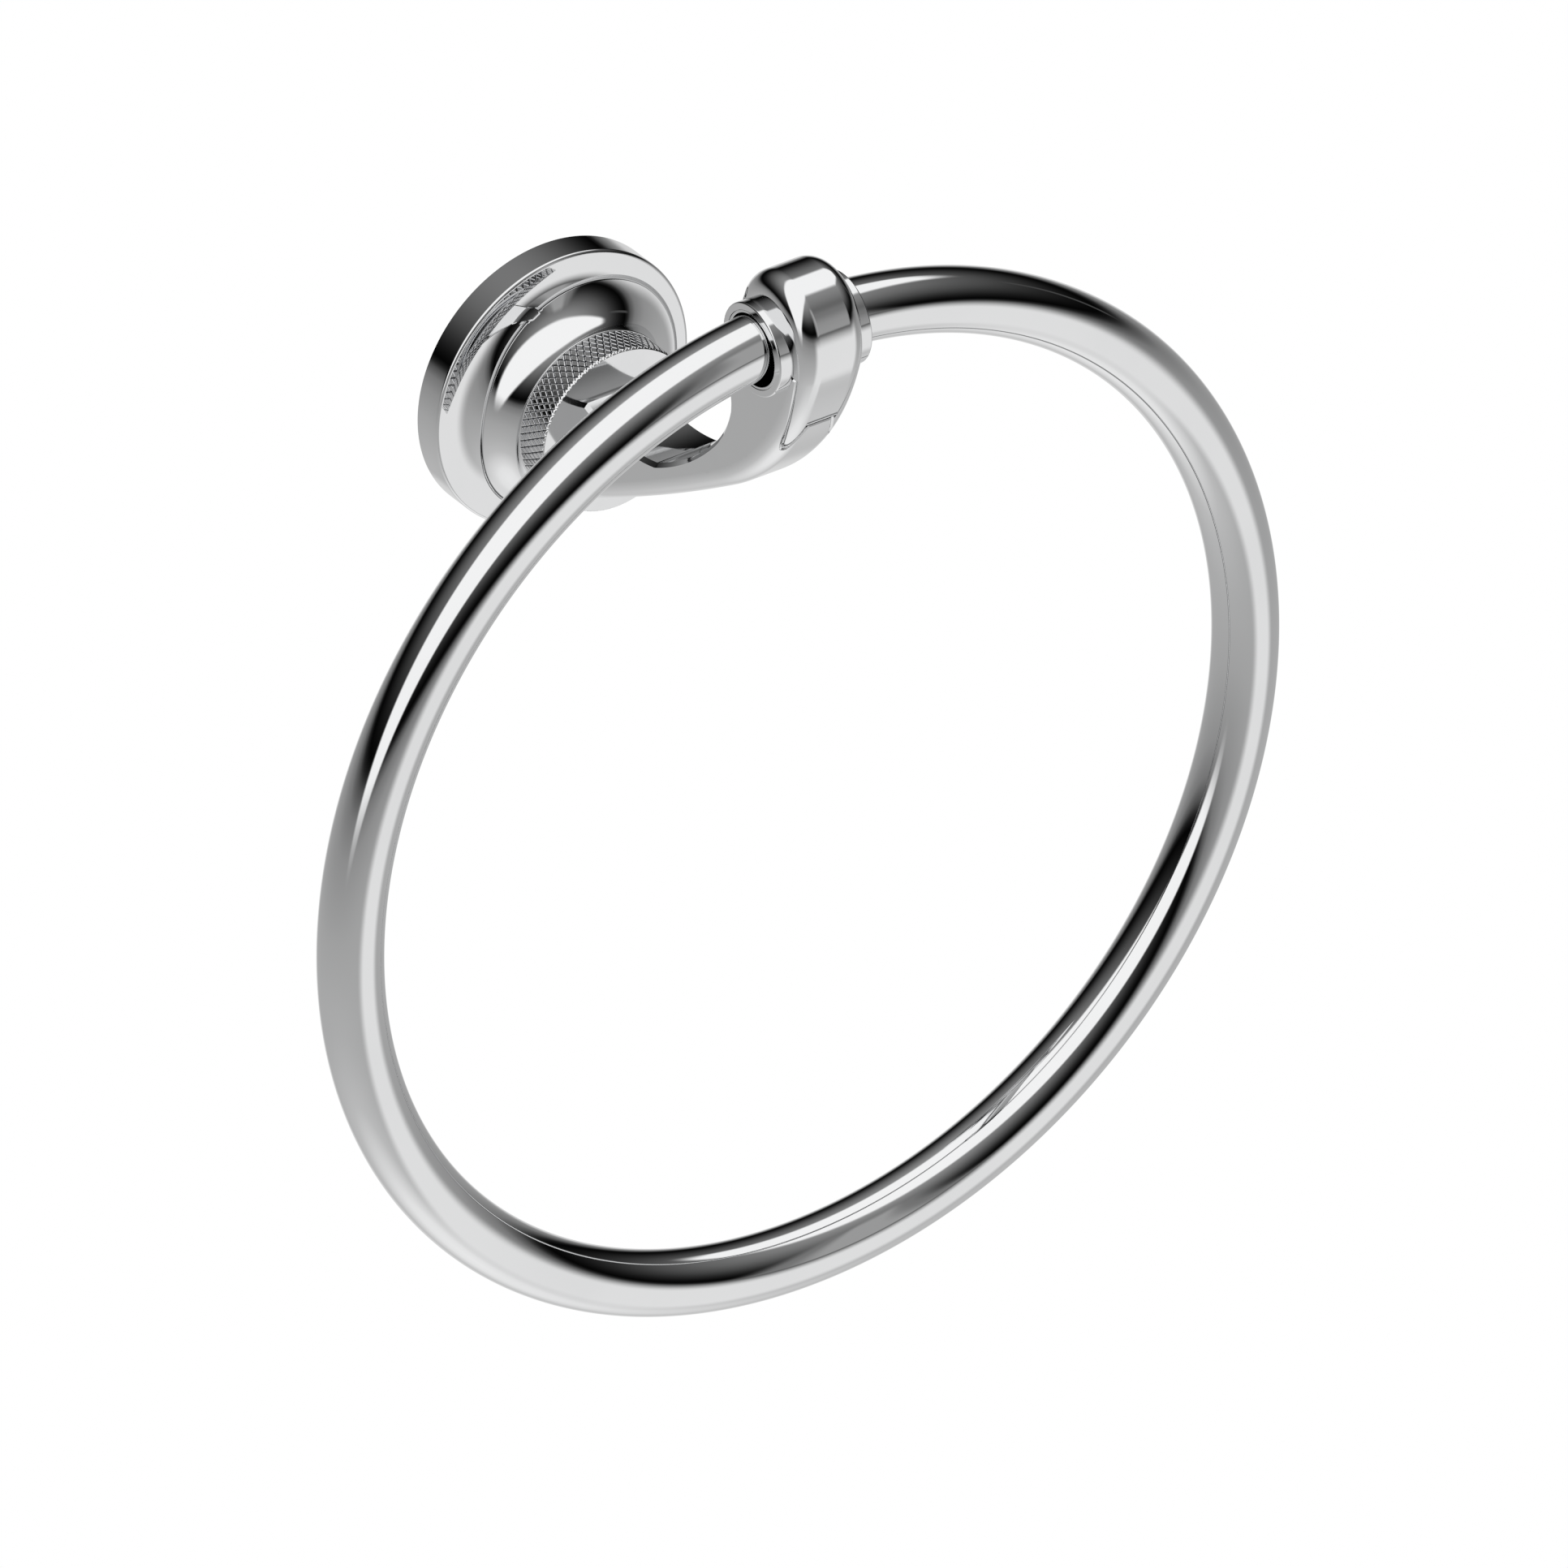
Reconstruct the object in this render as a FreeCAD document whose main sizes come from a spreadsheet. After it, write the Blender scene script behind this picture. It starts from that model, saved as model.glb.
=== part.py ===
"""Towel ring: a closed ring that swings in an eye at the end of a hooked arm.

The wall face is the plane Y = 0 and the towel ring projects towards -Y. +Z is up and +X is to the right of someone
who faces the wall. The origin is the centre of the flange's back face. In the sheet, "out" is a distance from the
wall, towards -Y, and "up" is a height above the flange's centre line.
"""

import FreeCAD, Part
import math
import os
import Sketcher

# Name of the sheet that holds every driving size.
SHEET = "Size"

# Driving sizes in millimetres, with angles in degrees.
SIZES = {
    # Wall flange, a hollow cover that sweeps up into a neck
    "neck_radius": 14.45,
    "flare_round": 8.75,
    "face_width": 1.2,
    "rim_round": 0.6,
    "flange_face_out": 5.5,
    "neck_step": 0.2,
    "rim_wall": 1.6,
    "face_wall": 1.5,
    "neck_wall": 1.5,
    "web_wall": 4.25,
    # Wall bracket behind the flange
    "bracket_thickness": 3.6,
    "bracket_gap": 0.3,
    "bracket_head_room": 1.0,
    "wall_hole_radius": 2.3,
    "wall_hole_margin": 8.1,
    "countersink_radius": 4.4,
    # Grub screw in the underside of the rim
    "grub_radius": 1.5,
    "grub_out": 1.9,
    "grub_bite": 1.0,
    "grub_recess": 0.25,
    # Knurled collar, measured from the neck
    "collar_step": 0.45,
    "collar_lip_step": 0.17,
    "collar_lip_width": 0.35,
    "collar_width": 6.65,
    "collar_edge": 0.2,
    # Arm and its spigot
    "arm_width": 13.2,
    "arm_round": 3.6,
    "arm_bevel": 0.45,
    "spigot_radius": 9.0,
    "spigot_depth": 2.85,
    "root_low": 11.75,
    "root_high": 7.3,
    # Radii of the arm's outline, from the underside over the nose to the inner edge
    "under_radius": 458.0,
    "belly_radius": 56.04,
    "nose_radius": 15.27,
    "crown_radius": 9.67,
    "nape_radius": 15.99,
    "throat_radius": 20.8,
    "inner_radius": 55.0,
    "dip_radius": 32.0,
    # Where those curves meet, behind or in front of the swing axis and below or above it
    "belly_back": 12.55,
    "belly_below": 34.3,
    "nose_front": 10.69,
    "nose_below": 3.63,
    "crown_front": 9.77,
    "crown_above": 7.64,
    "nape_back": 7.19,
    "nape_above": 8.31,
    "fade_back": 8.914,
    "fade_above": 4.239,
    "fade_end_back": 13.76,
    "fade_end_below": 13.85,
    "throat_top_back": 9.45,
    "throat_top_above": 0.51,
    "throat_back": 9.9,
    "throat_below": 15.85,
    "inner_back": 14.7,
    "inner_below": 26.25,
    "dip_back": 31.5,
    "dip_below": 38.9,
    # Eye, its bushes and the swing axis
    "axis_out": 72.3,
    "axis_up": 44.85,
    "eye_radius": 7.8,
    "bush_radius": 8.2,
    "bush_face": 9.2,
    "bush_edge": 0.3,
    "bush_inner_end": 0.4,
    "bush_bore_radius": 6.72,
    "liner_seat_radius": 6.95,
    "liner_length": 1.0,
    "liner_bore_radius": 6.4,
    "liner_edge": 0.12,
    # Ring
    "ring_radius": 89.0,
    "tube_radius": 5.55,
    "ring_lift": 1.03,
    # Cap that closes the eye
    "cap_gap": 0.12,
    "seam_arc_radius": 56.7,
    "seam_front": 8.5,
    "seam_below": 2.85,
    "tip_front": 1.95,
    "tip_below": 19.85,
    "back_seam_back": 5.8,
    "back_seam_above": 5.85,
    "back_seam_end_back": 8.3,
    "back_seam_end_above": 10.35,
    "tongue_below": 13.85,
    "tongue_half_width": 2.25,
    "tongue_foot_half_width": 4.5,
    # Dowels that locate the cap on the arm
    "dowel_radius": 0.6,
    "dowel_length": 2.8,
    "dowel_side": 3.6,
    "dowel_front": 7.47,
    "dowel_below": 6.85,
    "dowel_tilt": 16.2,
    # Draw bolt and its washers
    "bolt_radius": 3.0,
    "bolt_length": 16.0,
    "bolt_head_radius": 5.0,
    "bolt_head_height": 4.0,
    "bolt_socket": 2.0,
    "bolt_socket_depth": 2.2,
    "washer_radius": 6.0,
    "washer_thickness": 1.0,
    "spring_washer_radius": 5.3,
    "spring_washer_thickness": 1.4,
    "bolt_hole_radius": 3.3,
    "washer_gap": 0.2,
    "bolt_end_gap": 1.0,
    # Locating pin between the flange and the arm
    "pin_radius": 1.25,
    "arm_pin_up": 6.2,
    "arm_pin_length": 5.0,
    "pin_end_gap": 0.1,
    # Clearance between a round piece and its hole
    "fit_gap": 0.05,
    # How far a cut starts outside the material that it goes through
    "overcut": 1.0,
}

doc = FreeCAD.newDocument("towel_ring")
sheet = doc.addObject("Spreadsheet::Sheet", SHEET)
for row, (alias, value) in enumerate(SIZES.items(), start=1):
    sheet.set("A%d" % row, alias)
    sheet.set("B%d" % row, str(value))
    sheet.setAlias("B%d" % row, alias)
doc.recompute()

PIECES = []


def keep(piece, label):
    """Label a finished sub-part, so that it is written out under that name."""
    piece.Label = label
    PIECES.append(piece)
    return piece


def origin_plane(body, role):
    """Return the body's own origin plane that has the given role."""
    return [feature for feature in body.Origin.OriginFeatures if feature.Role == role][0]


def new_body(name):
    """Return an empty body."""
    return doc.addObject("PartDesign::Body", name)


def new_sketch(body, name, role, offset=None):
    """Return a sketch on an origin plane of its body, lifted along the plane's normal by an expression."""
    sketch = body.newObject("Sketcher::SketchObject", name)
    sketch.AttachmentSupport = [(origin_plane(body, role), "")]
    sketch.MapMode = "FlatFace"
    if offset:
        sketch.setExpression("AttachmentOffset.Base.z", offset)
    doc.recompute()
    return sketch


def pin_point(sketch, edge, end, across, along):
    """Tie one end of an edge to two expressions, measured from the sketch's origin."""
    for kind, text, axis in (("DistanceX", across, -2), ("DistanceY", along, -1)):
        if text == "0":
            sketch.addConstraint(Sketcher.Constraint("PointOnObject", edge, end, axis))
            continue
        value = float(sketch.evalExpression(text))
        index = sketch.addConstraint(Sketcher.Constraint(kind, -1, 1, edge, end, value))
        sketch.setExpression("Constraints[%d]" % index, text)


def arc_between(start, finish, radius, left):
    """Return the shorter arc between two points, with its centre to the left or right of the way."""
    middle = (start + finish) * 0.5
    chord = finish - start
    normal = FreeCAD.Vector(-chord.y, chord.x, 0).normalize()
    height = math.sqrt(radius ** 2 - (chord.Length / 2) ** 2)
    centre = middle + normal * (height if left else -height)
    first, last = (start, finish) if left else (finish, start)
    turn = [math.atan2(point.y - centre.y, point.x - centre.x) for point in (first, last)]
    circle = Part.Circle(centre, FreeCAD.Vector(0, 0, 1), radius)
    return Part.ArcOfCircle(circle, turn[0], turn[1] + (2 * math.pi if turn[1] < turn[0] else 0))


def spot(sketch, across, along):
    """Return the point of a sketch whose two coordinates are expressions."""
    return FreeCAD.Vector(float(sketch.evalExpression(across)), float(sketch.evalExpression(along)), 0)


def draw_outline(sketch, corners):
    """Draw a closed outline through corners.

    Each corner is (across, along) as expressions. A third item is the radius of an arc that leads to the next
    corner, with "left" or "right" as the fourth for the side of its centre.
    """
    points = [spot(sketch, corner[0], corner[1]) for corner in corners]
    ends = []
    for number, corner in enumerate(corners):
        start, finish = points[number], points[(number + 1) % len(points)]
        if len(corner) == 2:
            edge = sketch.addGeometry(Part.LineSegment(start, finish), False)
            ends.append((edge, 1, 2))
            continue
        left = corner[3] == "left"
        radius = float(sketch.evalExpression(corner[2]))
        edge = sketch.addGeometry(arc_between(start, finish, radius, left), False)
        ends.append((edge, 1, 2) if left else (edge, 2, 1))
        index = sketch.addConstraint(Sketcher.Constraint("Radius", edge, radius))
        sketch.setExpression("Constraints[%d]" % index, corner[2])
    for number, (edge, first, last) in enumerate(ends):
        following = ends[(number + 1) % len(ends)]
        sketch.addConstraint(Sketcher.Constraint("Coincident", edge, last, following[0], following[1]))
        pin_point(sketch, edge, first, corners[number][0], corners[number][1])
    doc.recompute()


def draw_circle(sketch, radius, across="0", along="0"):
    """Draw a circle whose radius and centre are expressions."""
    reach = float(sketch.evalExpression(radius))
    circle = Part.Circle(spot(sketch, across, along), FreeCAD.Vector(0, 0, 1), reach)
    edge = sketch.addGeometry(circle, False)
    index = sketch.addConstraint(Sketcher.Constraint("Radius", edge, reach))
    sketch.setExpression("Constraints[%d]" % index, radius)
    pin_point(sketch, edge, 3, across, along)
    doc.recompute()


def revolve(body, sketch, axis):
    """Revolve a sketch a full turn about its own H_Axis or V_Axis."""
    feature = body.newObject("PartDesign::Revolution", sketch.Name + "_turned")
    feature.Profile = sketch
    feature.ReferenceAxis = (sketch, [axis])
    feature.Angle = 360
    sketch.Visibility = False
    doc.recompute()
    return feature


def pad(body, sketch, length, midplane=False, reversed_way=False):
    """Pad a sketch by an expression."""
    feature = body.newObject("PartDesign::Pad", sketch.Name + "_pad")
    feature.Profile = sketch
    feature.setExpression("Length", length)
    feature.SideType = "Symmetric" if midplane else "One side"
    feature.Reversed = reversed_way
    doc.recompute()
    return feature


def pocket(body, sketch, length, midplane=False, reversed_way=False):
    """Cut a sketch into its body by an expression, and check that it removed material."""
    before = body.Shape.Volume
    feature = body.newObject("PartDesign::Pocket", sketch.Name + "_cut")
    feature.Profile = sketch
    feature.setExpression("Length", length)
    feature.SideType = "Symmetric" if midplane else "One side"
    feature.Reversed = reversed_way
    doc.recompute()
    if not body.Shape.Volume < before - 0.01:
        raise RuntimeError(sketch.Name + " cut nothing")
    return feature


def edges_where(shape, test):
    """Return the names of a shape's edges whose middle point passes a test."""
    names = []
    for number, edge in enumerate(shape.Edges, start=1):
        middle = edge.valueAt((edge.FirstParameter + edge.LastParameter) / 2)
        if test(edge, middle):
            names.append("Edge%d" % number)
    return names


def dress(body, kind, name, size, test):
    """Add a fillet or a chamfer of one size to the edges that pass a test."""
    base = body.Tip
    feature = body.newObject("PartDesign::" + kind, name)
    feature.Base = (base, edges_where(base.Shape, test))
    feature.setExpression("Radius" if kind == "Fillet" else "Size", size)
    doc.recompute()
    return feature


def turned_piece(label, corners, role="XY_Plane", axis="V_Axis"):
    """Return a body made by turning one outline about an axis of its sketch."""
    body = new_body(label + "_body")
    sketch = new_sketch(body, label + "_outline", role)
    draw_outline(sketch, corners)
    revolve(body, sketch, axis)
    return keep(body, label)


def cross_hole(body, name, role, radius, offset, length, across, along, reversed_way=False):
    """Cut a round hole into a body from a plane parallel to one of its origin planes."""
    sketch = new_sketch(body, name, role, offset)
    draw_circle(sketch, radius, across, along)
    return pocket(body, sketch, length, reversed_way=reversed_way)


def near(value, alias, slack=0.01):
    """Tell whether a coordinate equals a size from the sheet."""
    return abs(value - sheet.get(alias)) < slack


# Where the flare meets the flange's flat face, the flange's radius, and distances from the wall
flare_foot = "(Size.neck_radius + Size.flare_round)"
flange_rim = "(%s + Size.face_width + Size.rim_round)" % flare_foot
collar_back = "(Size.flange_face_out + Size.flare_round + Size.neck_step)"
collar_face = "(%s + Size.collar_width)" % collar_back
spigot_back = "(%s - Size.spigot_depth)" % collar_back
web_back = "(Size.web_wall - %s)" % spigot_back
spigot_bore = "(Size.spigot_radius + Size.fit_gap)"

# Wall flange: the rim, the flat face, the flare up to the neck, the arm's seat and the hollow behind them
flange = turned_piece("wall_flange", [
    (flange_rim, "0"),
    (flange_rim, "-Size.flange_face_out + Size.rim_round", "Size.rim_round", "right"),
    (flange_rim + " - Size.rim_round", "-Size.flange_face_out"),
    (flare_foot, "-Size.flange_face_out", "Size.flare_round", "left"),
    ("Size.neck_radius", "-Size.flange_face_out - Size.flare_round"),
    ("Size.neck_radius", "-" + collar_back),
    (spigot_bore, "-" + collar_back),
    (spigot_bore, "-" + spigot_back),
    ("Size.bolt_hole_radius", "-" + spigot_back),
    ("Size.bolt_hole_radius", web_back),
    ("Size.neck_radius - Size.neck_wall", web_back),
    ("Size.neck_radius - Size.neck_wall", "-Size.flange_face_out + Size.face_wall"),
    (flange_rim + " - Size.rim_wall", "-Size.flange_face_out + Size.face_wall"),
    (flange_rim + " - Size.rim_wall", "0"),
])
cross_hole(flange, "grub_hole", "XY_Plane", "Size.grub_radius + Size.fit_gap",
           "-%s - Size.overcut" % flange_rim, "Size.rim_wall + 2 * Size.overcut", "0", "-Size.grub_out", reversed_way=True)
cross_hole(flange, "flange_pin_hole", "XZ_Plane", "Size.pin_radius + Size.fit_gap",
           spigot_back + " + Size.overcut", "Size.arm_pin_length / 2 + Size.pin_end_gap + Size.overcut",
           "0", "Size.arm_pin_up")

# Wall bracket: a plate with two countersunk holes, and a notch in its edge for the grub screw's tip
bracket_rim = "(%s - Size.rim_wall - Size.bracket_gap)" % flange_rim
bracket_bore = "Size.bolt_head_radius + Size.bracket_head_room"
hole_side = "(%s - Size.wall_hole_margin)" % bracket_rim
bracket = turned_piece("wall_bracket", [
    (bracket_bore, "0"),
    (bracket_rim, "0"),
    (bracket_rim, "-Size.bracket_thickness"),
    (bracket_bore, "-Size.bracket_thickness"),
])
holes = new_sketch(bracket, "wall_holes", "XZ_Plane", "Size.bracket_thickness + Size.overcut")
draw_circle(holes, "Size.wall_hole_radius", hole_side)
draw_circle(holes, "Size.wall_hole_radius", "-" + hole_side)
pocket(bracket, holes, "Size.bracket_thickness + 2 * Size.overcut")
dress(bracket, "Chamfer", "countersinks", "Size.countersink_radius - Size.wall_hole_radius",
      lambda edge, middle: edge.Curve.TypeId == "Part::GeomCircle"
      and near(edge.Curve.Radius, "wall_hole_radius") and near(-middle.y, "bracket_thickness"))
cross_hole(bracket, "grub_notch", "XY_Plane", "Size.grub_radius + Size.fit_gap",
           "-%s - Size.overcut" % bracket_rim, "Size.grub_bite + Size.overcut", "0", "-Size.grub_out",
           reversed_way=True)

# Grub screw: its tip ends in the bracket's notch and its outer end is just inside the rim
grub = new_body("flange_set_screw_body")
grub_top = "-%s + Size.grub_bite" % bracket_rim
grub_sketch = new_sketch(grub, "grub_section", "XY_Plane", grub_top)
draw_circle(grub_sketch, "Size.grub_radius", "0", "-Size.grub_out")
pad(grub, grub_sketch, "Size.rim_wall + Size.bracket_gap + Size.grub_bite - Size.grub_recess", reversed_way=True)
keep(grub, "flange_set_screw")

# Knurled collar in its plain form: a lip at the back and a ring with a flat front face
collar = "(Size.neck_radius + Size.collar_step)"
collar_lip = "(%s + Size.collar_lip_step)" % collar
turned_piece("knurled_collar", [
    (spigot_bore, "-" + collar_back),
    (collar_lip + " - Size.collar_edge", "-" + collar_back),
    (collar_lip, "-%s - Size.collar_edge" % collar_back),
    (collar_lip, "-%s - Size.collar_lip_width" % collar_back),
    (collar, "-%s - Size.collar_lip_width" % collar_back),
    (collar, "-%s + Size.collar_edge" % collar_face),
    (collar + " - Size.collar_edge", "-" + collar_face),
    (spigot_bore, "-" + collar_face),
])


# Arm pin: it keeps the arm from turning on the flange
arm_pin = new_body("arm_pin_body")
arm_pin_sketch = new_sketch(arm_pin, "arm_pin_section", "XZ_Plane", spigot_back + " - Size.arm_pin_length / 2")
draw_circle(arm_pin_sketch, "Size.pin_radius", "0", "Size.arm_pin_up")
pad(arm_pin, arm_pin_sketch, "Size.arm_pin_length")
keep(arm_pin, "arm_pin")

# Draw bolt from behind, with its two washers: it clamps the flange and the collar to the arm
head_front = "(%s + Size.washer_thickness + Size.spring_washer_thickness)" % web_back
bolt = turned_piece("draw_bolt", [
    ("0", head_front + " + Size.bolt_head_height"),
    ("Size.bolt_head_radius", head_front + " + Size.bolt_head_height"),
    ("Size.bolt_head_radius", head_front),
    ("Size.bolt_radius", head_front),
    ("Size.bolt_radius", head_front + " - Size.bolt_length"),
    ("0", head_front + " - Size.bolt_length"),
])
socket = new_sketch(bolt, "hex_socket", "XZ_Plane", "-" + head_front + " - Size.bolt_head_height")
hexagon = [("Size.bolt_socket / cos(30) * cos(%d)" % turn, "Size.bolt_socket / cos(30) * sin(%d)" % turn)
           for turn in (30, 90, 150, 210, 270, 330)]
draw_outline(socket, hexagon)
pocket(bolt, socket, "Size.bolt_socket_depth", reversed_way=True)

turned_piece("plain_washer", [
    ("Size.bolt_radius + Size.washer_gap", web_back + " + Size.washer_thickness"),
    ("Size.washer_radius", web_back + " + Size.washer_thickness"),
    ("Size.washer_radius", web_back),
    ("Size.bolt_radius + Size.washer_gap", web_back),
])
turned_piece("spring_washer", [
    ("Size.bolt_radius + Size.fit_gap", head_front),
    ("Size.spring_washer_radius", head_front),
    ("Size.spring_washer_radius", head_front + " - Size.spring_washer_thickness"),
    ("Size.bolt_radius + Size.fit_gap", head_front + " - Size.spring_washer_thickness"),
])


def from_axis(front, above):
    """Return a corner of a side view, from its distances in front of and above the swing axis."""
    return "-(Size.axis_out + (%s))" % front, "Size.axis_up + (%s)" % above


# Hook blank: the arm with the whole eye, before the cap is split from it. Its outline is drawn in the side view,
# and its inner side is cut out after the outer edges are rounded, so that the rounding fades out at the nape.
blank = new_body("hook_blank")
side_view = new_sketch(blank, "hook_outside", "YZ_Plane")
draw_outline(side_view, [
    ("-" + collar_face, "-Size.root_low", "Size.under_radius", "right"),
    (*from_axis("-Size.belly_back", "-Size.belly_below"), "Size.belly_radius", "right"),
    (*from_axis("Size.nose_front", "-Size.nose_below"), "Size.nose_radius", "right"),
    (*from_axis("Size.crown_front", "Size.crown_above"), "Size.crown_radius", "right"),
    (*from_axis("-Size.nape_back", "Size.nape_above"), "Size.nape_radius", "right"),
    from_axis("-Size.fade_back", "Size.fade_above"),
    from_axis("-Size.fade_end_back", "-Size.fade_end_below"),
    from_axis("-Size.dip_back", "-Size.fade_end_below"),
    ("-" + collar_face, "Size.root_high + Size.arm_round"),
])
pad(blank, side_view, "Size.arm_width", midplane=True)


def on_outside(edge, middle):
    """Tell whether an edge of the blank's sides lies on the outer curve, with the line where its rounding fades."""
    return near(abs(middle.x) * 2, "arm_width") and (
        edge.Curve.TypeId == "Part::GeomCircle" or -middle.y > sheet.axis_out - sheet.fade_end_back)


dress(blank, "Fillet", "outer_round", "Size.arm_round", on_outside)
inner_view = new_sketch(blank, "hook_inside", "YZ_Plane")
draw_outline(inner_view, [
    (*from_axis("-Size.fade_back", "Size.fade_above"), "Size.nape_radius", "right"),
    from_axis("-Size.throat_top_back", "Size.throat_top_above"),
    (*from_axis("-Size.throat_back", "-Size.throat_below"), "Size.throat_radius", "left"),
    (*from_axis("-Size.inner_back", "-Size.inner_below"), "Size.inner_radius", "left"),
    (*from_axis("-Size.dip_back", "-Size.dip_below"), "Size.dip_radius", "left"),
    ("-" + collar_face, "Size.root_high"),
    ("0", "Size.root_high"),
    ("0", "Size.axis_up + Size.fade_above"),
])
pocket(blank, inner_view, "Size.arm_width * 2", midplane=True)
eye = new_sketch(blank, "eye", "YZ_Plane")
draw_circle(eye, "Size.eye_radius", "-Size.axis_out", "Size.axis_up")
pocket(blank, eye, "Size.arm_width * 2", midplane=True)


def on_curve(*aliases):
    """Return a test for the edges of the blank's sides that lie on curves of the named radii."""
    return lambda edge, middle: (near(abs(middle.x) * 2, "arm_width") and edge.Curve.TypeId == "Part::GeomCircle"
                                 and any(near(edge.Curve.Radius, alias) for alias in aliases))


dress(blank, "Chamfer", "inner_bevel", "Size.arm_bevel", on_curve("throat_radius", "inner_radius"))
dress(blank, "Chamfer", "dip_bevel", "Size.arm_bevel", on_curve("dip_radius"))
spigot = new_sketch(blank, "spigot", "XZ_Plane", spigot_back)
draw_circle(spigot, "Size.spigot_radius")
pad(blank, spigot, "%s - %s" % (collar_face, spigot_back))
cross_hole(blank, "bolt_hole", "XZ_Plane", "Size.bolt_radius + Size.fit_gap",
           "-%s + Size.bolt_length + Size.bolt_end_gap" % head_front, "Size.bolt_length + Size.bolt_head_height",
           "0", "0")
cross_hole(blank, "arm_pin_hole", "XZ_Plane", "Size.pin_radius + Size.fit_gap",
           spigot_back + " + Size.arm_pin_length / 2 + Size.pin_end_gap", "Size.arm_pin_length",
           "0", "Size.arm_pin_up")


def cap_region(label, shift):
    """Return the block of space that the cap takes of the hook, with every side of it moved in by an expression.

    In the side view the cap lies in front of the seam's arc and above the back seam. In the front view a tongue of
    the arm stands up between the cap's two side petals.
    """
    side = new_body(label + "_side")
    sketch = new_sketch(side, label + "_side_view", "YZ_Plane")
    far_front, far_above, far_below = "Size.axis_out / 2", "Size.axis_out / 2", "-Size.axis_out / 2"
    tip_front = "Size.tip_front + %s" % shift
    draw_outline(sketch, [
        from_axis(tip_front, far_below),
        from_axis(far_front, far_below),
        from_axis(far_front, far_above),
        from_axis("-Size.back_seam_end_back", far_above),
        from_axis("-Size.back_seam_end_back", "Size.back_seam_end_above + %s" % shift),
        from_axis("-Size.back_seam_back", "Size.back_seam_above + %s" % shift),
        from_axis("0", "0"),
        (*from_axis("Size.seam_front + %s" % shift, "-Size.seam_below"), "Size.seam_arc_radius", "left"),
        from_axis(tip_front, "-Size.tip_below"),
    ])
    pad(side, sketch, "Size.arm_width * 2", midplane=True)

    tongue = new_body(label + "_tongue")
    front_view = new_sketch(tongue, label + "_front_view", "XZ_Plane", "Size.axis_out / 2")
    top, foot = "Size.axis_up - Size.tongue_below + %s" % shift, "Size.axis_up - Size.tip_below + %s" % shift
    head, toe = "Size.tongue_half_width + %s" % shift, "Size.tongue_foot_half_width + %s" % shift
    draw_outline(front_view, [
        (head, top), ("-%s" % head.replace("+", "-"), top), ("-%s" % toe.replace("+", "-"), foot),
        ("-Size.arm_width", foot), ("-Size.arm_width", "-Size.axis_up"),
        ("Size.arm_width", "-Size.axis_up"), ("Size.arm_width", foot), (toe, foot),
    ])
    pad(tongue, front_view, "Size.axis_out")

    region = doc.addObject("Part::Cut", label)
    region.Base = side
    region.Tool = tongue
    return region


# Dowels that locate the cap, square to the seam, and their holes
dowel_turn = "90 + Size.dowel_tilt"


def dowel(name, side, radius, length):
    """Return a round pin across the seam, on one side of the hook's middle."""
    rod = doc.addObject("Part::Cylinder", name)
    rod.Placement = FreeCAD.Placement(FreeCAD.Vector(), FreeCAD.Rotation(FreeCAD.Vector(1, 0, 0), 90))
    rod.setExpression("Radius", radius)
    rod.setExpression("Height", length)
    rod.setExpression("Placement.Rotation.Angle", dowel_turn)
    rod.setExpression("Placement.Base.x", "%sSize.dowel_side" % side)
    back, down = ("%s / 2 * %s(%s)" % (length, turn, dowel_turn) for turn in ("sin", "cos"))
    rod.setExpression("Placement.Base.y", "-Size.axis_out - Size.dowel_front + " + back)
    rod.setExpression("Placement.Base.z", "Size.axis_up - Size.dowel_below - " + down)
    doc.recompute()
    return rod


dowel_holes = doc.addObject("Part::MultiFuse", "dowel_holes")
dowel_holes.Shapes = [
    dowel("dowel_hole_" + name, side, "(Size.dowel_radius + Size.fit_gap)", "(Size.dowel_length + 2 * Size.fit_gap)")
    for name, side in (("left", "-"), ("right", ""))
]
hook = doc.addObject("Part::Cut", "hook")
hook.Base = blank
hook.Tool = dowel_holes
doc.recompute()

arm = doc.addObject("Part::Cut", "arm_shape")
arm.Base = hook
arm.Tool = cap_region("space_for_cap", "0")
keep(arm, "arm")
cap = doc.addObject("Part::Common", "cap_shape")
cap.Base = hook
cap.Tool = cap_region("cap_space", "Size.cap_gap")
keep(cap, "eye_cap")
for name, side in (("left", "-"), ("right", "")):
    keep(dowel("dowel_" + name, side, "Size.dowel_radius", "Size.dowel_length"), "cap_dowel_" + name)
doc.recompute()


def on_axis(body):
    """Move a body's origin to the swing axis."""
    body.setExpression("Placement.Base.y", "-Size.axis_out")
    body.setExpression("Placement.Base.z", "Size.axis_up")


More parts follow.
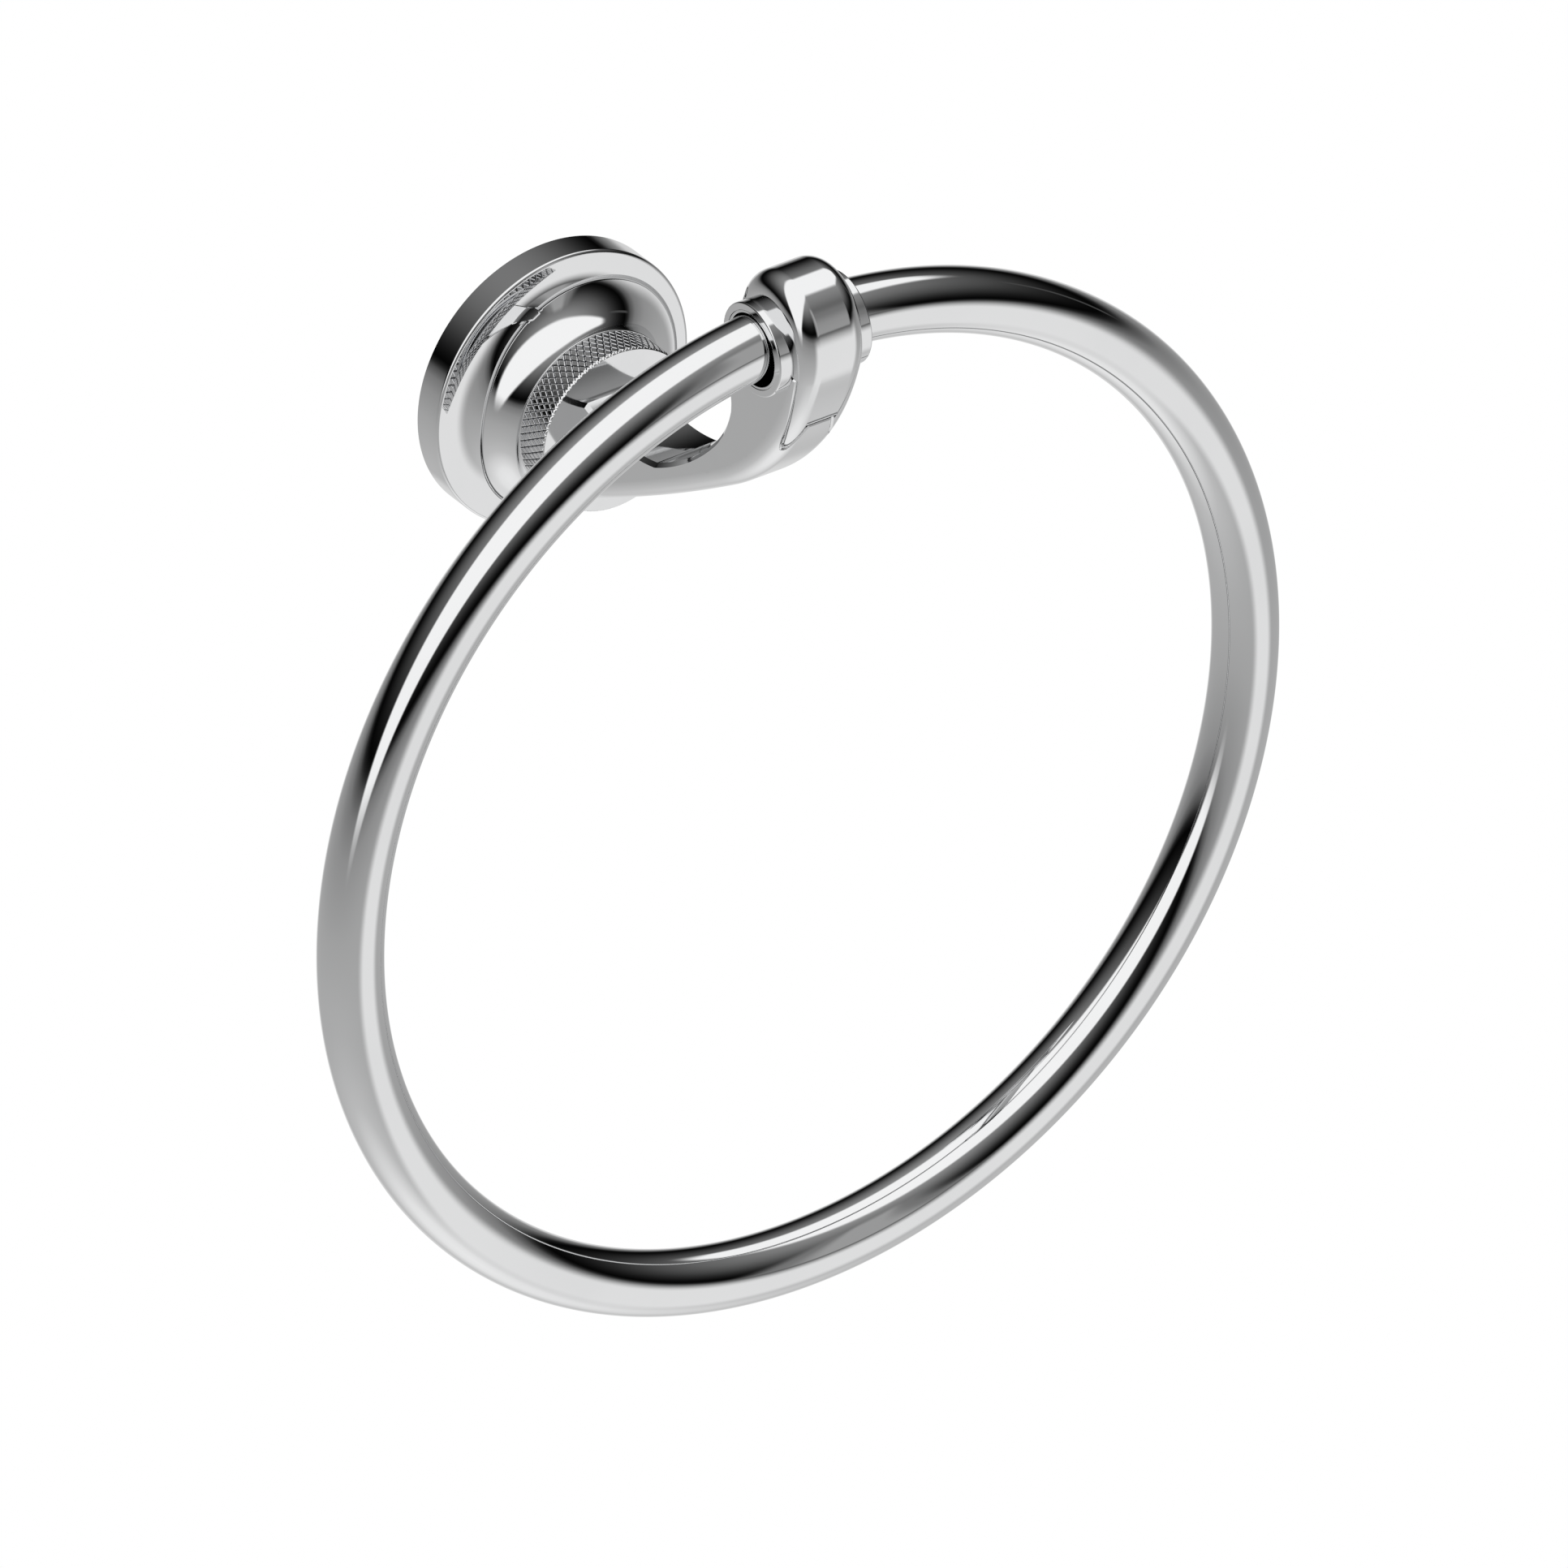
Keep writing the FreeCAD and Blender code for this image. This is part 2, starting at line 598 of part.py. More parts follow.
# Bushes in the eye, each with a liner at its outer face
for name, sign in (("left", "-"), ("right", "")):
    face, hub = sign + "Size.bush_face", sign + "Size.arm_width / 2"
    edge = "%s(Size.bush_face - Size.bush_edge)" % sign
    seat = "%s(Size.bush_face - Size.liner_length)" % sign
    inner = sign + "Size.bush_inner_end"
    on_axis(turned_piece("bush_" + name, [
        (inner, "Size.bush_bore_radius"),
        (inner, "Size.eye_radius - Size.fit_gap"),
        (hub, "Size.eye_radius - Size.fit_gap"),
        (hub, "Size.bush_radius"),
        (edge, "Size.bush_radius"),
        (face, "Size.bush_radius - Size.bush_edge"),
        (face, "Size.liner_seat_radius"),
        (seat, "Size.liner_seat_radius"),
        (seat, "Size.bush_bore_radius"),
    ], axis="H_Axis"))
    liner_face = "%s(Size.bush_face - Size.fit_gap)" % sign
    liner_edge = "%s(Size.bush_face - Size.fit_gap - Size.liner_edge)" % sign
    on_axis(turned_piece("liner_" + name, [
        (seat, "Size.liner_bore_radius"),
        (seat, "Size.liner_seat_radius - Size.fit_gap"),
        (liner_edge, "Size.liner_seat_radius - Size.fit_gap"),
        (liner_face, "Size.liner_seat_radius - Size.fit_gap - Size.liner_edge"),
        (liner_face, "Size.liner_bore_radius + Size.liner_edge"),
        (liner_edge, "Size.liner_bore_radius"),
    ], axis="H_Axis"))

# Ring: one closed tube that hangs through the bushes
ring = doc.addObject("Part::Torus", "ring_tube")
ring.Placement = FreeCAD.Placement(FreeCAD.Vector(), FreeCAD.Rotation(FreeCAD.Vector(1, 0, 0), 90))
ring.setExpression("Radius1", "Size.ring_radius")
ring.setExpression("Radius2", "Size.tube_radius")
ring.setExpression("Placement.Base.y", "-Size.axis_out")
ring.setExpression("Placement.Base.z", "Size.axis_up + Size.ring_lift - Size.ring_radius")
keep(ring, "ring")
doc.recompute()

# Stop before writing anything if a feature failed or a sub-part isn't a sound solid
for feature in doc.Objects:
    if "Invalid" in feature.State or "Error" in feature.State:
        raise RuntimeError("%s failed: %s" % (feature.Label, feature.State))
for piece in PIECES:
    if piece.Shape.isNull() or not piece.Shape.isValid() or not piece.Shape.Solids:
        raise RuntimeError(piece.Label + " is not a valid solid")

os.makedirs("parts", exist_ok=True)
for piece in PIECES:
    piece.Shape.exportStep(os.path.join("parts", piece.Label + ".step"))
    print("%-18s %d solid, %.1f mm3" % (piece.Label, len(piece.Shape.Solids), piece.Shape.Volume))
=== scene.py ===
"""Looks of a chrome towel ring that hangs in the eye of a hooked arm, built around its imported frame.

Lengths are in metres in the frame's own axes: the wall is the plane Y = 0, the arm projects towards -Y and
+Z is up. Sizes inside the classes are in millimetres, as a maker's drawing gives them. A place in the side
view is (out, up): its distance from the wall and its height.
"""

import logging
import math
from dataclasses import dataclass
from enum import Enum
from typing import Callable, Iterable, Sequence, Union

import bmesh
import bpy
from mathutils import Matrix, Vector


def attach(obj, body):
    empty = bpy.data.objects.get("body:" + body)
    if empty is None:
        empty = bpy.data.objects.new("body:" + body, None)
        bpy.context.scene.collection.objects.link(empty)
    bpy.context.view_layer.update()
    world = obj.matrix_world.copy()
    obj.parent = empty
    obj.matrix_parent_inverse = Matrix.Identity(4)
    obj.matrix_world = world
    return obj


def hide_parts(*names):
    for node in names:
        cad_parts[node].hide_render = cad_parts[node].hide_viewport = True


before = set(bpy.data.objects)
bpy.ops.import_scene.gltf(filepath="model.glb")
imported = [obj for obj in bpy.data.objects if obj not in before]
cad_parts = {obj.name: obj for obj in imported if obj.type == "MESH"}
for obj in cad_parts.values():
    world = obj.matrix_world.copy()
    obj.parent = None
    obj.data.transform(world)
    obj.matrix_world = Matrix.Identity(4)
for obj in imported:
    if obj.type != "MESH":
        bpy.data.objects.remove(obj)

Socket = bpy.types.NodeSocket
Piece = bpy.types.Object
Material = bpy.types.Material
Shape = bmesh.types.BMesh
Row = list[bmesh.types.BMVert]
# Points of a line on a surface, each with the surface's normal there.
Trace = list[tuple[Vector, Vector]]

LOG = logging.getLogger("towel_ring")
MM = 0.001
# Distance in millimetres below which two places are the same.
SAME = 1e-6
# How far a cutting shape stands out of the piece that it cuts, in millimetres.
CLEAR = 1.0
# Place of the eye's centre in the side view.
EYE_AXIS = (72.3, 44.85)
# Factors that take a point to the other side of the middle plane.
MIRROR = Vector((-1.0, 1.0, 1.0))
WHITE = (1.0, 1.0, 1.0, 1.0)
# Brightest display grey, and the offset and power of the display's curve.
BRIGHTEST = 255.0
CURVE_OFFSET, CURVE_POWER = 0.055, 2.4


class Body(Enum):
    """The two bodies that pieces ride on."""

    WALL = "wall_part"
    RING = "ring_part"


class Slot(Enum):
    """The record's material slots."""

    PLATE = "chrome_plate"
    TUBE = "chrome_tube"
    KNURL = "knurled_chrome"
    LINER = "liner_chrome"
    BRACKET = "bracket_steel"
    SCREW = "screw_steel"
    PIN = "pin_steel"
    BOLT = "bolt_steel"
    SPRING = "spring_steel"


class Number:
    """A number socket of a node tree, on which Python's operators add Math nodes."""

    def __init__(self, graph: "Graph", socket: Socket) -> None:
        """Wrap an output socket."""
        self.graph = graph
        self.socket = socket

    def __add__(self, other: "Operand") -> "Number":
        """Return the sum."""
        return self.graph.math("ADD", self, other)

    def __sub__(self, other: "Operand") -> "Number":
        """Return the difference."""
        return self.graph.math("SUBTRACT", self, other)

    def __rsub__(self, other: float) -> "Number":
        """Return a plain number less this one."""
        return self.graph.math("SUBTRACT", other, self)

    def __mul__(self, other: "Operand") -> "Number":
        """Return the product."""
        return self.graph.math("MULTIPLY", self, other)

    def __truediv__(self, other: "Operand") -> "Number":
        """Return the quotient."""
        return self.graph.math("DIVIDE", self, other)

    def __rtruediv__(self, other: float) -> "Number":
        """Return a plain number divided by this one."""
        return self.graph.math("DIVIDE", other, self)

    def __pow__(self, power: float) -> "Number":
        """Return this number raised to a power."""
        return self.graph.math("POWER", self, power)

    def __abs__(self) -> "Number":
        """Return the size of this number without its sign."""
        return self.graph.math("ABSOLUTE", self)

    __radd__ = __add__
    __rmul__ = __mul__


Operand = Union[Number, float]


class Graph:
    """Builds one node tree."""

    def __init__(self, tree: bpy.types.NodeTree) -> None:
        """Take over an emptied node tree."""
        tree.nodes.clear()
        self.tree = tree

    def node(self, kind: str, settings: dict | None = None, sockets: dict | None = None) -> bpy.types.Node:
        """Add a node.

        Args:
            kind: the node's type.
            settings: the node's own properties, which are set first.
            sockets: values or links for input sockets, by name, identifier or place.

        Returns:
            The new node.
        """
        made = self.tree.nodes.new(kind)
        for name, setting in (settings or {}).items():
            if name == "stops":
                self._fill_ramp(made.color_ramp, setting)
            else:
                setattr(made, name, setting)
        for key, value in (sockets or {}).items():
            self._feed(self._find(made, key), value)
        return made

    @staticmethod
    def _find(made: bpy.types.Node, key: Union[str, int]) -> Socket:
        """Find an input socket.

        Args:
            made: the node.
            key: the socket's place, identifier or name.

        Returns:
            The socket.
        """
        if isinstance(key, int):
            return made.inputs[key]
        return next((s for s in made.inputs if s.identifier == key), None) or made.inputs[key]

    def _feed(self, target: Socket, value: object) -> None:
        """Link a socket to the target, or set the target's own value.

        Args:
            target: the input socket.
            value: a number, an output socket or a plain value.
        """
        source = value.socket if isinstance(value, Number) else value
        if isinstance(source, Socket):
            self.tree.links.new(source, target)
        else:
            target.default_value = source

    @staticmethod
    def _fill_ramp(ramp: bpy.types.ColorRamp, stops: Sequence[tuple[float, float]]) -> None:
        """Put grey stops on a colour ramp.

        Args:
            ramp: the ramp, with its two first elements.
            stops: pairs of place and grey, in rising order.
        """
        while len(ramp.elements) < len(stops):
            ramp.elements.new(1.0)
        for element, (place, grey) in zip(ramp.elements, stops):
            element.position = place
            element.color = (grey, grey, grey, 1.0)

    def number(self, socket: Socket) -> Number:
        """Wrap a socket as a number."""
        return Number(self, socket)

    def math(self, operation: str, *operands: Operand) -> Number:
        """Add a Math node.

        Args:
            operation: the node's operation.
            operands: numbers or plain values, in the node's order.

        Returns:
            The node's result.
        """
        made = self.node("ShaderNodeMath", {"operation": operation}, dict(enumerate(operands)))
        return self.number(made.outputs[0])

    def step(self, value: Operand, low: float, high: float) -> Number:
        """Add a soft step.

        Args:
            value: the number that is looked at.
            low: where the step is still 0.
            high: where it has reached 1, which may be the smaller of the two.

        Returns:
            The step's height.
        """
        made =self.node("ShaderNodeMapRange", {"interpolation_type": "SMOOTHSTEP"},
                         {"Value": value, "From Min": low, "From Max": high})
        return self.number(made.outputs[0])

    def dot(self, vector: Socket, other: Sequence[float]) -> Number:
        """Return the dot product of a vector socket and a fixed vector."""
        made = self.node("ShaderNodeVectorMath", {"operation": "DOT_PRODUCT"}, {0: vector, 1: tuple(other)})
        return self.number(made.outputs["Value"])

    def scaled(self, vector: Socket, factors: Sequence[float]) -> Socket:
        """Return a vector socket multiplied by a fixed vector, part by part."""
        made = self.node("ShaderNodeVectorMath", {"operation": "MULTIPLY"}, {0: vector, 1: tuple(factors)})
        return made.outputs["Vector"]

    def blend(self, factor: Operand, first: object, second: object) -> Socket:
        """Mix two colours.

        Args:
            factor: the second colour's share.
            first: a colour or a socket.
            second: a colour or a socket.

        Returns:
            The mixed colour's socket.
        """
        made = self.node("ShaderNodeMix", {"data_type": "RGBA"},
                         {"Factor_Float": factor, "A_Color": first, "B_Color": second})
        return next(s for s in made.outputs if s.identifier == "Result_Color")

    def noise(self, vector: Socket, scale: float, detail: float) -> Number:
        """Return a noise value at a point.

        Args:
            vector: the point, in metres.
            scale: features per metre.
            detail: how many finer layers are added.

        Returns:
            The noise, from 0 to 1.
        """
        made = self.node("ShaderNodeTexNoise", None, {"Vector": vector, "Scale": scale, "Detail": detail})
        return self.number(made.outputs[0])


@dataclass(frozen=True)
class MetalFinish:
    """A bare or plated metal surface.

    Attributes:
        slot: the record's slot that takes this finish.
        tint: colour of the metal where it is cleanest.
        film: colour where a faint film lies on it.
        film_range: noise values between which the film sets in.
        film_scale: film patches per metre.
        film_detail: finer layers of the film's noise.
        roughness: roughness where it is cleanest.
        haze: what the film adds to the roughness.
        grain: stretch of the tool marks along X, Y and Z, per metre.
        grain_depth: depth of the tool marks in metres.
        grain_detail: finer layers of the tool marks' noise.
        grain_share: share of the haze that follows the tool marks.
    """

    slot: Slot
    tint: tuple[float, float, float] = (0.797, 0.80, 0.804)
    film: tuple[float, float, float] = (0.776, 0.78, 0.785)
    film_range: tuple[float, float] = (0.42, 0.72)
    film_scale: float = 45.0
    film_detail: float = 3.0
    roughness: float = 0.025
    haze: float = 0.03
    grain: tuple[float, float, float] = (1600.0, 1600.0, 1600.0)
    grain_depth: float = 0.00000006
    grain_detail: float = 4.0
    grain_share: float = 0.4

    def material(self) -> Material:
        """Build the finish as a node material.

        Returns:
            The material, named for its slot.
        """
        made = bpy.data.materials.new(self.slot.value + "_finish")
        made.use_nodes = True
        graph = Graph(made.node_tree)
        place = graph.node("ShaderNodeTexCoord").outputs["Object"]
        film = graph.step(graph.noise(place, self.film_scale, self.film_detail), *self.film_range)
        grain = graph.noise(graph.scaled(place, self.grain), 1.0, self.grain_detail)
        relief = graph.node("ShaderNodeBump", None, {
            "Strength": 1.0,
            "Distance": self.grain_depth,
            "Height": grain,
        })
        unevenness = 1.0 - self.grain_share + self.grain_share * grain
        shader = graph.node("ShaderNodeBsdfPrincipled", None, {
            "Base Color": self.shaded(graph, place, graph.blend(film, (*self.tint, 1.0), (*self.film, 1.0))),
            "Metallic": 1.0,
            "Roughness": self.roughness + self.haze * film * unevenness,
            "Normal": relief.outputs["Normal"],
        })
        graph.node("ShaderNodeOutputMaterial", None, {"Surface": shader.outputs[0]})
        return made

    def shaded(self, graph: Graph, place: Socket, colour: Socket) -> Socket:
        """Return the metal's colour at a point, which is the same all over."""
        return colour


@dataclass(frozen=True)
class KnurledFinish(MetalFinish):
    """A plated surface with cut grooves, whose bottoms get painted shade in their colour. Its lengths are in
    metres.

    Attributes:
        top: radius over the teeth.
        dark: depths between which the painted shade in a groove sets in.
        floor: depths between which the shade ends, below every groove.
        front: distances from the wall between which the shade ends, at the start of the front bevel.
        shade: colour of the painted shade at a groove's bottom.
    """

    top: float = 0.0149
    dark: tuple[float, float] = (0.000012, 0.00012)
    floor: tuple[float, float] = (0.000275, 0.00025)
    front: tuple[float, float] = (0.0208, 0.020788)
    shade: tuple[float, float, float] = (0.05, 0.055, 0.075)

    def shaded(self, graph: Graph, place: Socket, colour: Socket) -> Socket:
        """Return the metal's colour at a point, with painted shade down in the grooves.

        Args:
            graph: the material's graph.
            place: the point.
            colour: the colour on the tops of the teeth.

        Returns:
            The colour there.
        """
        parts = graph.node("ShaderNodeSeparateXYZ", None, {0: place})
        x, y, z = (graph.number(socket) for socket in parts.outputs)
        depth = self.top - (x * x + z * z) ** 0.5
        groove_shade = graph.step(depth, *self.dark) * graph.step(depth, *self.floor)
        mask = groove_shade * graph.step(-1.0 * y, *self.front)
        # Painted shade: the bottoms of the grooves are darkened in the base colour itself.
        return graph.blend(mask, colour, (*self.shade, 1.0))


CHROME_PLATE = MetalFinish(Slot.PLATE)
CHROME_TUBE = MetalFinish(Slot.TUBE, film_scale=35.0)
KNURLED_CHROME = KnurledFinish(Slot.KNURL, roughness=0.06, haze=0.05, film_scale=120.0)
LINER_CHROME = MetalFinish(Slot.LINER, roughness=0.05, haze=0.04, film_scale=160.0)
STEEL = {"tint": (0.52, 0.51, 0.50), "film": (0.42, 0.41, 0.395), "haze": 0.12}
BRACKET_STEEL = MetalFinish(Slot.BRACKET, roughness=0.36, grain=(180.0, 3800.0, 3800.0), grain_depth=0.000006,
                            film_scale=140.0, **STEEL)
SCREW_STEEL = MetalFinish(Slot.SCREW, roughness=0.30, grain=(900.0, 900.0, 5200.0), grain_depth=0.000004,
                          film_scale=500.0, **STEEL)
PIN_STEEL = MetalFinish(Slot.PIN, roughness=0.22, grain=(900.0, 5200.0, 900.0), grain_depth=0.000002,
                        film_scale=450.0, **STEEL)
BOLT_STEEL = MetalFinish(Slot.BOLT, roughness=0.34, grain=(700.0, 4200.0, 700.0), grain_depth=0.000005,
                         film_scale=320.0, tint=(0.23, 0.23, 0.235), film=(0.16, 0.16, 0.165), haze=0.15)
SPRING_STEEL = MetalFinish(Slot.SPRING, roughness=0.32, grain=(2600.0, 400.0, 2600.0), grain_depth=0.000004,
                           film_scale=380.0, **STEEL)


@dataclass(frozen=True)
class Stretch:
    """A straight or curved stretch of an outline, with its outward directions at both ends.

    Attributes:
        start: (radius, along) of its first end.
        finish: (radius, along) of its second end.
        start_normal: outward direction at the first end.
        finish_normal: outward direction at the second end.
    """

    start: tuple[float, float]
    finish: tuple[float, float]
    start_normal: tuple[float, float]
    finish_normal: tuple[float, float]


class Outline:
    """A section in (radius, along), drawn counter-clockwise: its outside is on the right of the way."""

    def __init__(self, radius: float, along: float) -> None:
        """Start the outline at a corner.

        Args:
            radius: the corner's radius.
            along: the corner's place along the axis.
        """
        self.first = (radius, along)
        self.last = self.first
        self.stretches: list[Stretch] = []

    def line(self, radius: float, along: float) -> "Outline":
        """Draw a straight stretch.

        Args:
            radius: the next corner's radius.
            along: the next corner's place along the axis.

        Returns:
            This outline.
        """
        across, up = radius - self.last[0], along - self.last[1]
        length = math.hypot(across, up)
        normal = (up / length, -across / length)
        self.stretches.append(Stretch(self.last, (radius, along), normal, normal))
        self.last = (radius, along)
        return self

    def arc(self, centre: tuple[float, float], turn: float, steps: int, hollow: bool = False) -> "Outline":
        """Draw an arc about a centre.

        Args:
            centre: (radius, along) of the arc's centre.
            turn: how far it goes, in degrees, positive counter-clockwise.
            steps: number of stretches.
            hollow: whether the outside of the piece is on the centre's side.

        Returns:
            This outline.
        """
        reach = (self.last[0] - centre[0], self.last[1] - centre[1])
        size = math.hypot(*reach)
        begin = math.atan2(reach[1], reach[0])
        side = -1.0 if hollow else 1.0
        spots = [begin + math.radians(turn) * n / steps for n in range(steps + 1)]
        ends = [(centre[0] + size * math.cos(a), centre[1] + size * math.sin(a)) for a in spots]
        normals = [(side * math.cos(a), side * math.sin(a)) for a in spots]
        for n in range(steps):
            self.stretches.append(Stretch(ends[n], ends[n + 1], normals[n], normals[n + 1]))
        self.last = ends[-1]
        return self

    def close(self) -> "Outline":
        """Draw the last straight stretch, if one is left.

        Returns:
            This outline.
        """
        if math.dist(self.last, self.first) > SAME:
            self.line(*self.first)
        return self

    def normals_near(self, radius: float, along: float, slack: float = 0.02) -> list[tuple[float, float]]:
        """Find the outward directions at a point of the section.

        Args:
            radius: the point's radius.
            along: its place along the axis.
            slack: how far it may lie off a stretch.

        Returns:
            One direction for each stretch that passes through the point.
        """
        found = []
        for stretch in self.stretches:
            (r0, a0), (r1, a1) = stretch.start, stretch.finish
            length = math.dist(stretch.start, stretch.finish)
            part = ((radius - r0) * (r1 - r0) + (along - a0) * (a1 - a0)) / length ** 2
            if -slack < part * length < length + slack:
                part = min(1.0, max(0.0, part))
                if math.hypot(radius - r0 - part * (r1 - r0), along - a0 - part * (a1 - a0)) < slack:
                    found.append(tuple(n0 + part * (n1 - n0) for n0, n1 in
                                       zip(stretch.start_normal, stretch.finish_normal)))
        return found


def circle(count: int) -> list[float]:
    """Return the angles of places spread evenly round a circle."""
    return [2 * math.pi * n / count for n in range(count)]


def keep(name: str, shape: Shape) -> Piece:
    """Turn a shape into an object of the scene.

    Args:
        name: the object's name.
        shape: the shape, which is used up.

    Returns:
        The new object.
    """
    mesh = bpy.data.meshes.new(name)
    shape.to_mesh(mesh)
    shape.free()
    made = bpy.data.objects.new(name, mesh)
    bpy.context.scene.collection.objects.link(made)
    return made


@dataclass(frozen=True)
class Lathe:
    """Turns outlines about an axis.

    Attributes:
        centre: a point on the axis, in millimetres.
        axis: direction of the axis.
        start: direction in which the first section lies.
        segments: number of sections in a full turn.
    """

    centre: tuple[float, float, float]
    axis: tuple[float, float, float]
    start: tuple[float, float, float] = (0.0, 0.0, 1.0)
    segments: int = 256

    def point(self, radius: float, along: float, angle: float) -> Vector:
        """Return a point in metres from its radius and place along the axis in millimetres, and its angle."""
        return (Vector(self.centre) + Vector(self.axis) * along + self.outward(angle) * radius) * MM

    def outward(self, angle: float) -> Vector:
        """Return the direction away from the axis at an angle in radians."""
        start, axis = Vector(self.start), Vector(self.axis)
        return start * math.cos(angle) + axis.cross(start) * math.sin(angle)

    def turn(self, name: str, outline: Outline) -> Piece:
        """Turn a closed outline into a closed mesh with exact normals.

        Args:
            name: the piece's name.
            outline: the section.

        Returns:
            The new object.
        """
        shape = bmesh.new()
        angles = circle(self.segments)
        rings = [[shape.verts.new(self.point(*stretch.start, angle)) for angle in angles]
                 for stretch in outline.stretches]
        normals: list[Vector] = []
        axis = Vector(self.axis)
        for number, stretch in enumerate(outline.stretches):
            near, far = rings[number], rings[(number + 1) % len(rings)]
            for n, angle in enumerate(angles):
                after = (n + 1) % self.segments
                shape.faces.new((near[n], near[after], far[after], far[n]))
                here, there = self.outward(angle), self.outward(angles[after])
                for way, (lean, rise) in ((here, stretch.start_normal), (there, stretch.start_normal),
                                          (there, stretch.finish_normal), (here, stretch.finish_normal)):
                    normals.append((way * lean + axis * rise).normalized())
        made = keep(name, shape)
        made.data.shade_smooth()
        made.data.normals_split_custom_set(normals)
        return made


class Cut(Enum):
    """Ways in which a shape meets another one."""

    AWAY = "DIFFERENCE"
    WITHIN = "INTERSECT"


def triangulate(shape: Shape) -> None:
    """Cut every face of a shape into triangles."""
    bmesh.ops.triangulate(shape, faces=shape.faces, ngon_method="EAR_CLIP")


def keep_closed(name: str, shape: Shape) -> Piece:
    """Turn a closed shape into an object whose faces look outwards.

    Args:
        name: the object's name.
        shape: the shape, which is used up.

    Returns:
        The new object.
    """
    bmesh.ops.recalc_face_normals(shape, faces=shape.faces)
    triangulate(shape)
    return keep(name, shape)


def bridge(shape: Shape, near: Row, far: Row) -> None:
    """Join two closed rows of vertices by faces.

    Args:
        shape: the shape that they belong to.
        near: one row.
        far: the other row, with as many vertices.
    """
    for n, corner in enumerate(near):
        after = (n + 1) % len(near)
        shape.faces.new((corner, near[after], far[after], far[n]))


def block(name: str, corners: Sequence[Vector], along: Vector) -> Piece:
    """Build a prism.

    Args:
        name: the object's name.
        corners: the corners of its one end, in millimetres.
        along: the way to its other end, in millimetres.

    Returns:
        The new object.
    """
    shape = bmesh.new()
    near = [shape.verts.new(corner * MM) for corner in corners]
    far = [shape.verts.new((corner + along) * MM) for corner in corners]
    shape.faces.new(near)
    shape.faces.new(far)
    bridge(shape, near, far)
    return keep_closed(name, shape)


def rod(name: str, start: Vector, finish: Vector, radius: float, segments: int = 96) -> Piece:
    """Build a round rod.

    Args:
        name: the object's name.
        start: the middle of its one end, in millimetres.
        finish: the middle of its other end, in millimetres.
        radius: its radius in millimetres.
        segments: number of its sides.

    Returns:
        The new object.
    """
    way = (finish - start).normalized()
    side = way.orthogonal().normalized()
    over = way.cross(side)
    rim = [start + (side * math.cos(turn) + over * math.sin(turn)) * radius for turn in circle(segments)]
    return block(name, rim, finish - start)


def carve(piece: Piece, cut: Cut, *tools: Piece) -> Piece:
    """Cut a shape with others in one step.

    Args:
        piece: the shape that is worked on, which isn't kept.
        cut: the way of cutting.
        tools: the other shapes.

    Returns:
        The result, under the piece's name.
    """
    group = bpy.data.collections.new("tools")
    for tool in tools:
        group.objects.link(tool)
    modifier = piece.modifiers.new(cut.value, "BOOLEAN")
    modifier.operation = cut.value
    modifier.operand_type = "COLLECTION"
    modifier.collection = group
    modifier.solver = "EXACT"
    cut_mesh = bpy.data.meshes.new_from_object(piece.evaluated_get(bpy.context.evaluated_depsgraph_get()))
    shape = bmesh.new()
    shape.from_mesh(cut_mesh)
    triangulate(shape)
    name = piece.name
    bpy.data.objects.remove(piece)
    bpy.data.collections.remove(group)
    bpy.data.meshes.remove(cut_mesh)
    return keep(name, shape)


def shade(piece: Piece, normals_at: Callable[[Vector], Iterable[Vector]], match: float = 0.955) -> None:
    """Give every face corner the exact normal of the curved surface that it lies on.

    Args:
        piece: the piece, whose faces that lie on none of its curved surfaces stay flat.
        normals_at: gives the normals that a point in millimetres may have.
        match: least cosine of the angle between a face and the surface that it lies on.
    """
    mesh = piece.data
    mesh.shade_smooth()
    found: list[Vector] = []
    for face in mesh.polygons:
        flat = face.normal.copy()
        for vertex in face.vertices:
            best = max(normals_at(mesh.vertices[vertex].co / MM), key=flat.dot, default=flat)
            found.append(best if best.dot(flat) > match else flat)
    mesh.normals_split_custom_set(found)


def dress(piece: Piece, material: Material) -> None:
    """Give a whole piece one material."""
    piece.data.materials.clear()
    piece.data.materials.append(material)


def fit(piece: Piece, body: Body, slot: Slot, *nodes: str) -> None:
    """Set a new piece on its body and in place of the nodes that it stands for.

    Args:
        piece: the new piece.
        body: the body that it moves with.
        slot: the record's slot for its finish; not used.
        nodes: names of the nodes that it replaces.
    """
    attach(piece, body.value)
    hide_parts(*nodes)
    LOG.info("%s: %d faces on %s, for %s", piece.name, len(piece.data.polygons), body.value, ", ".join(nodes))


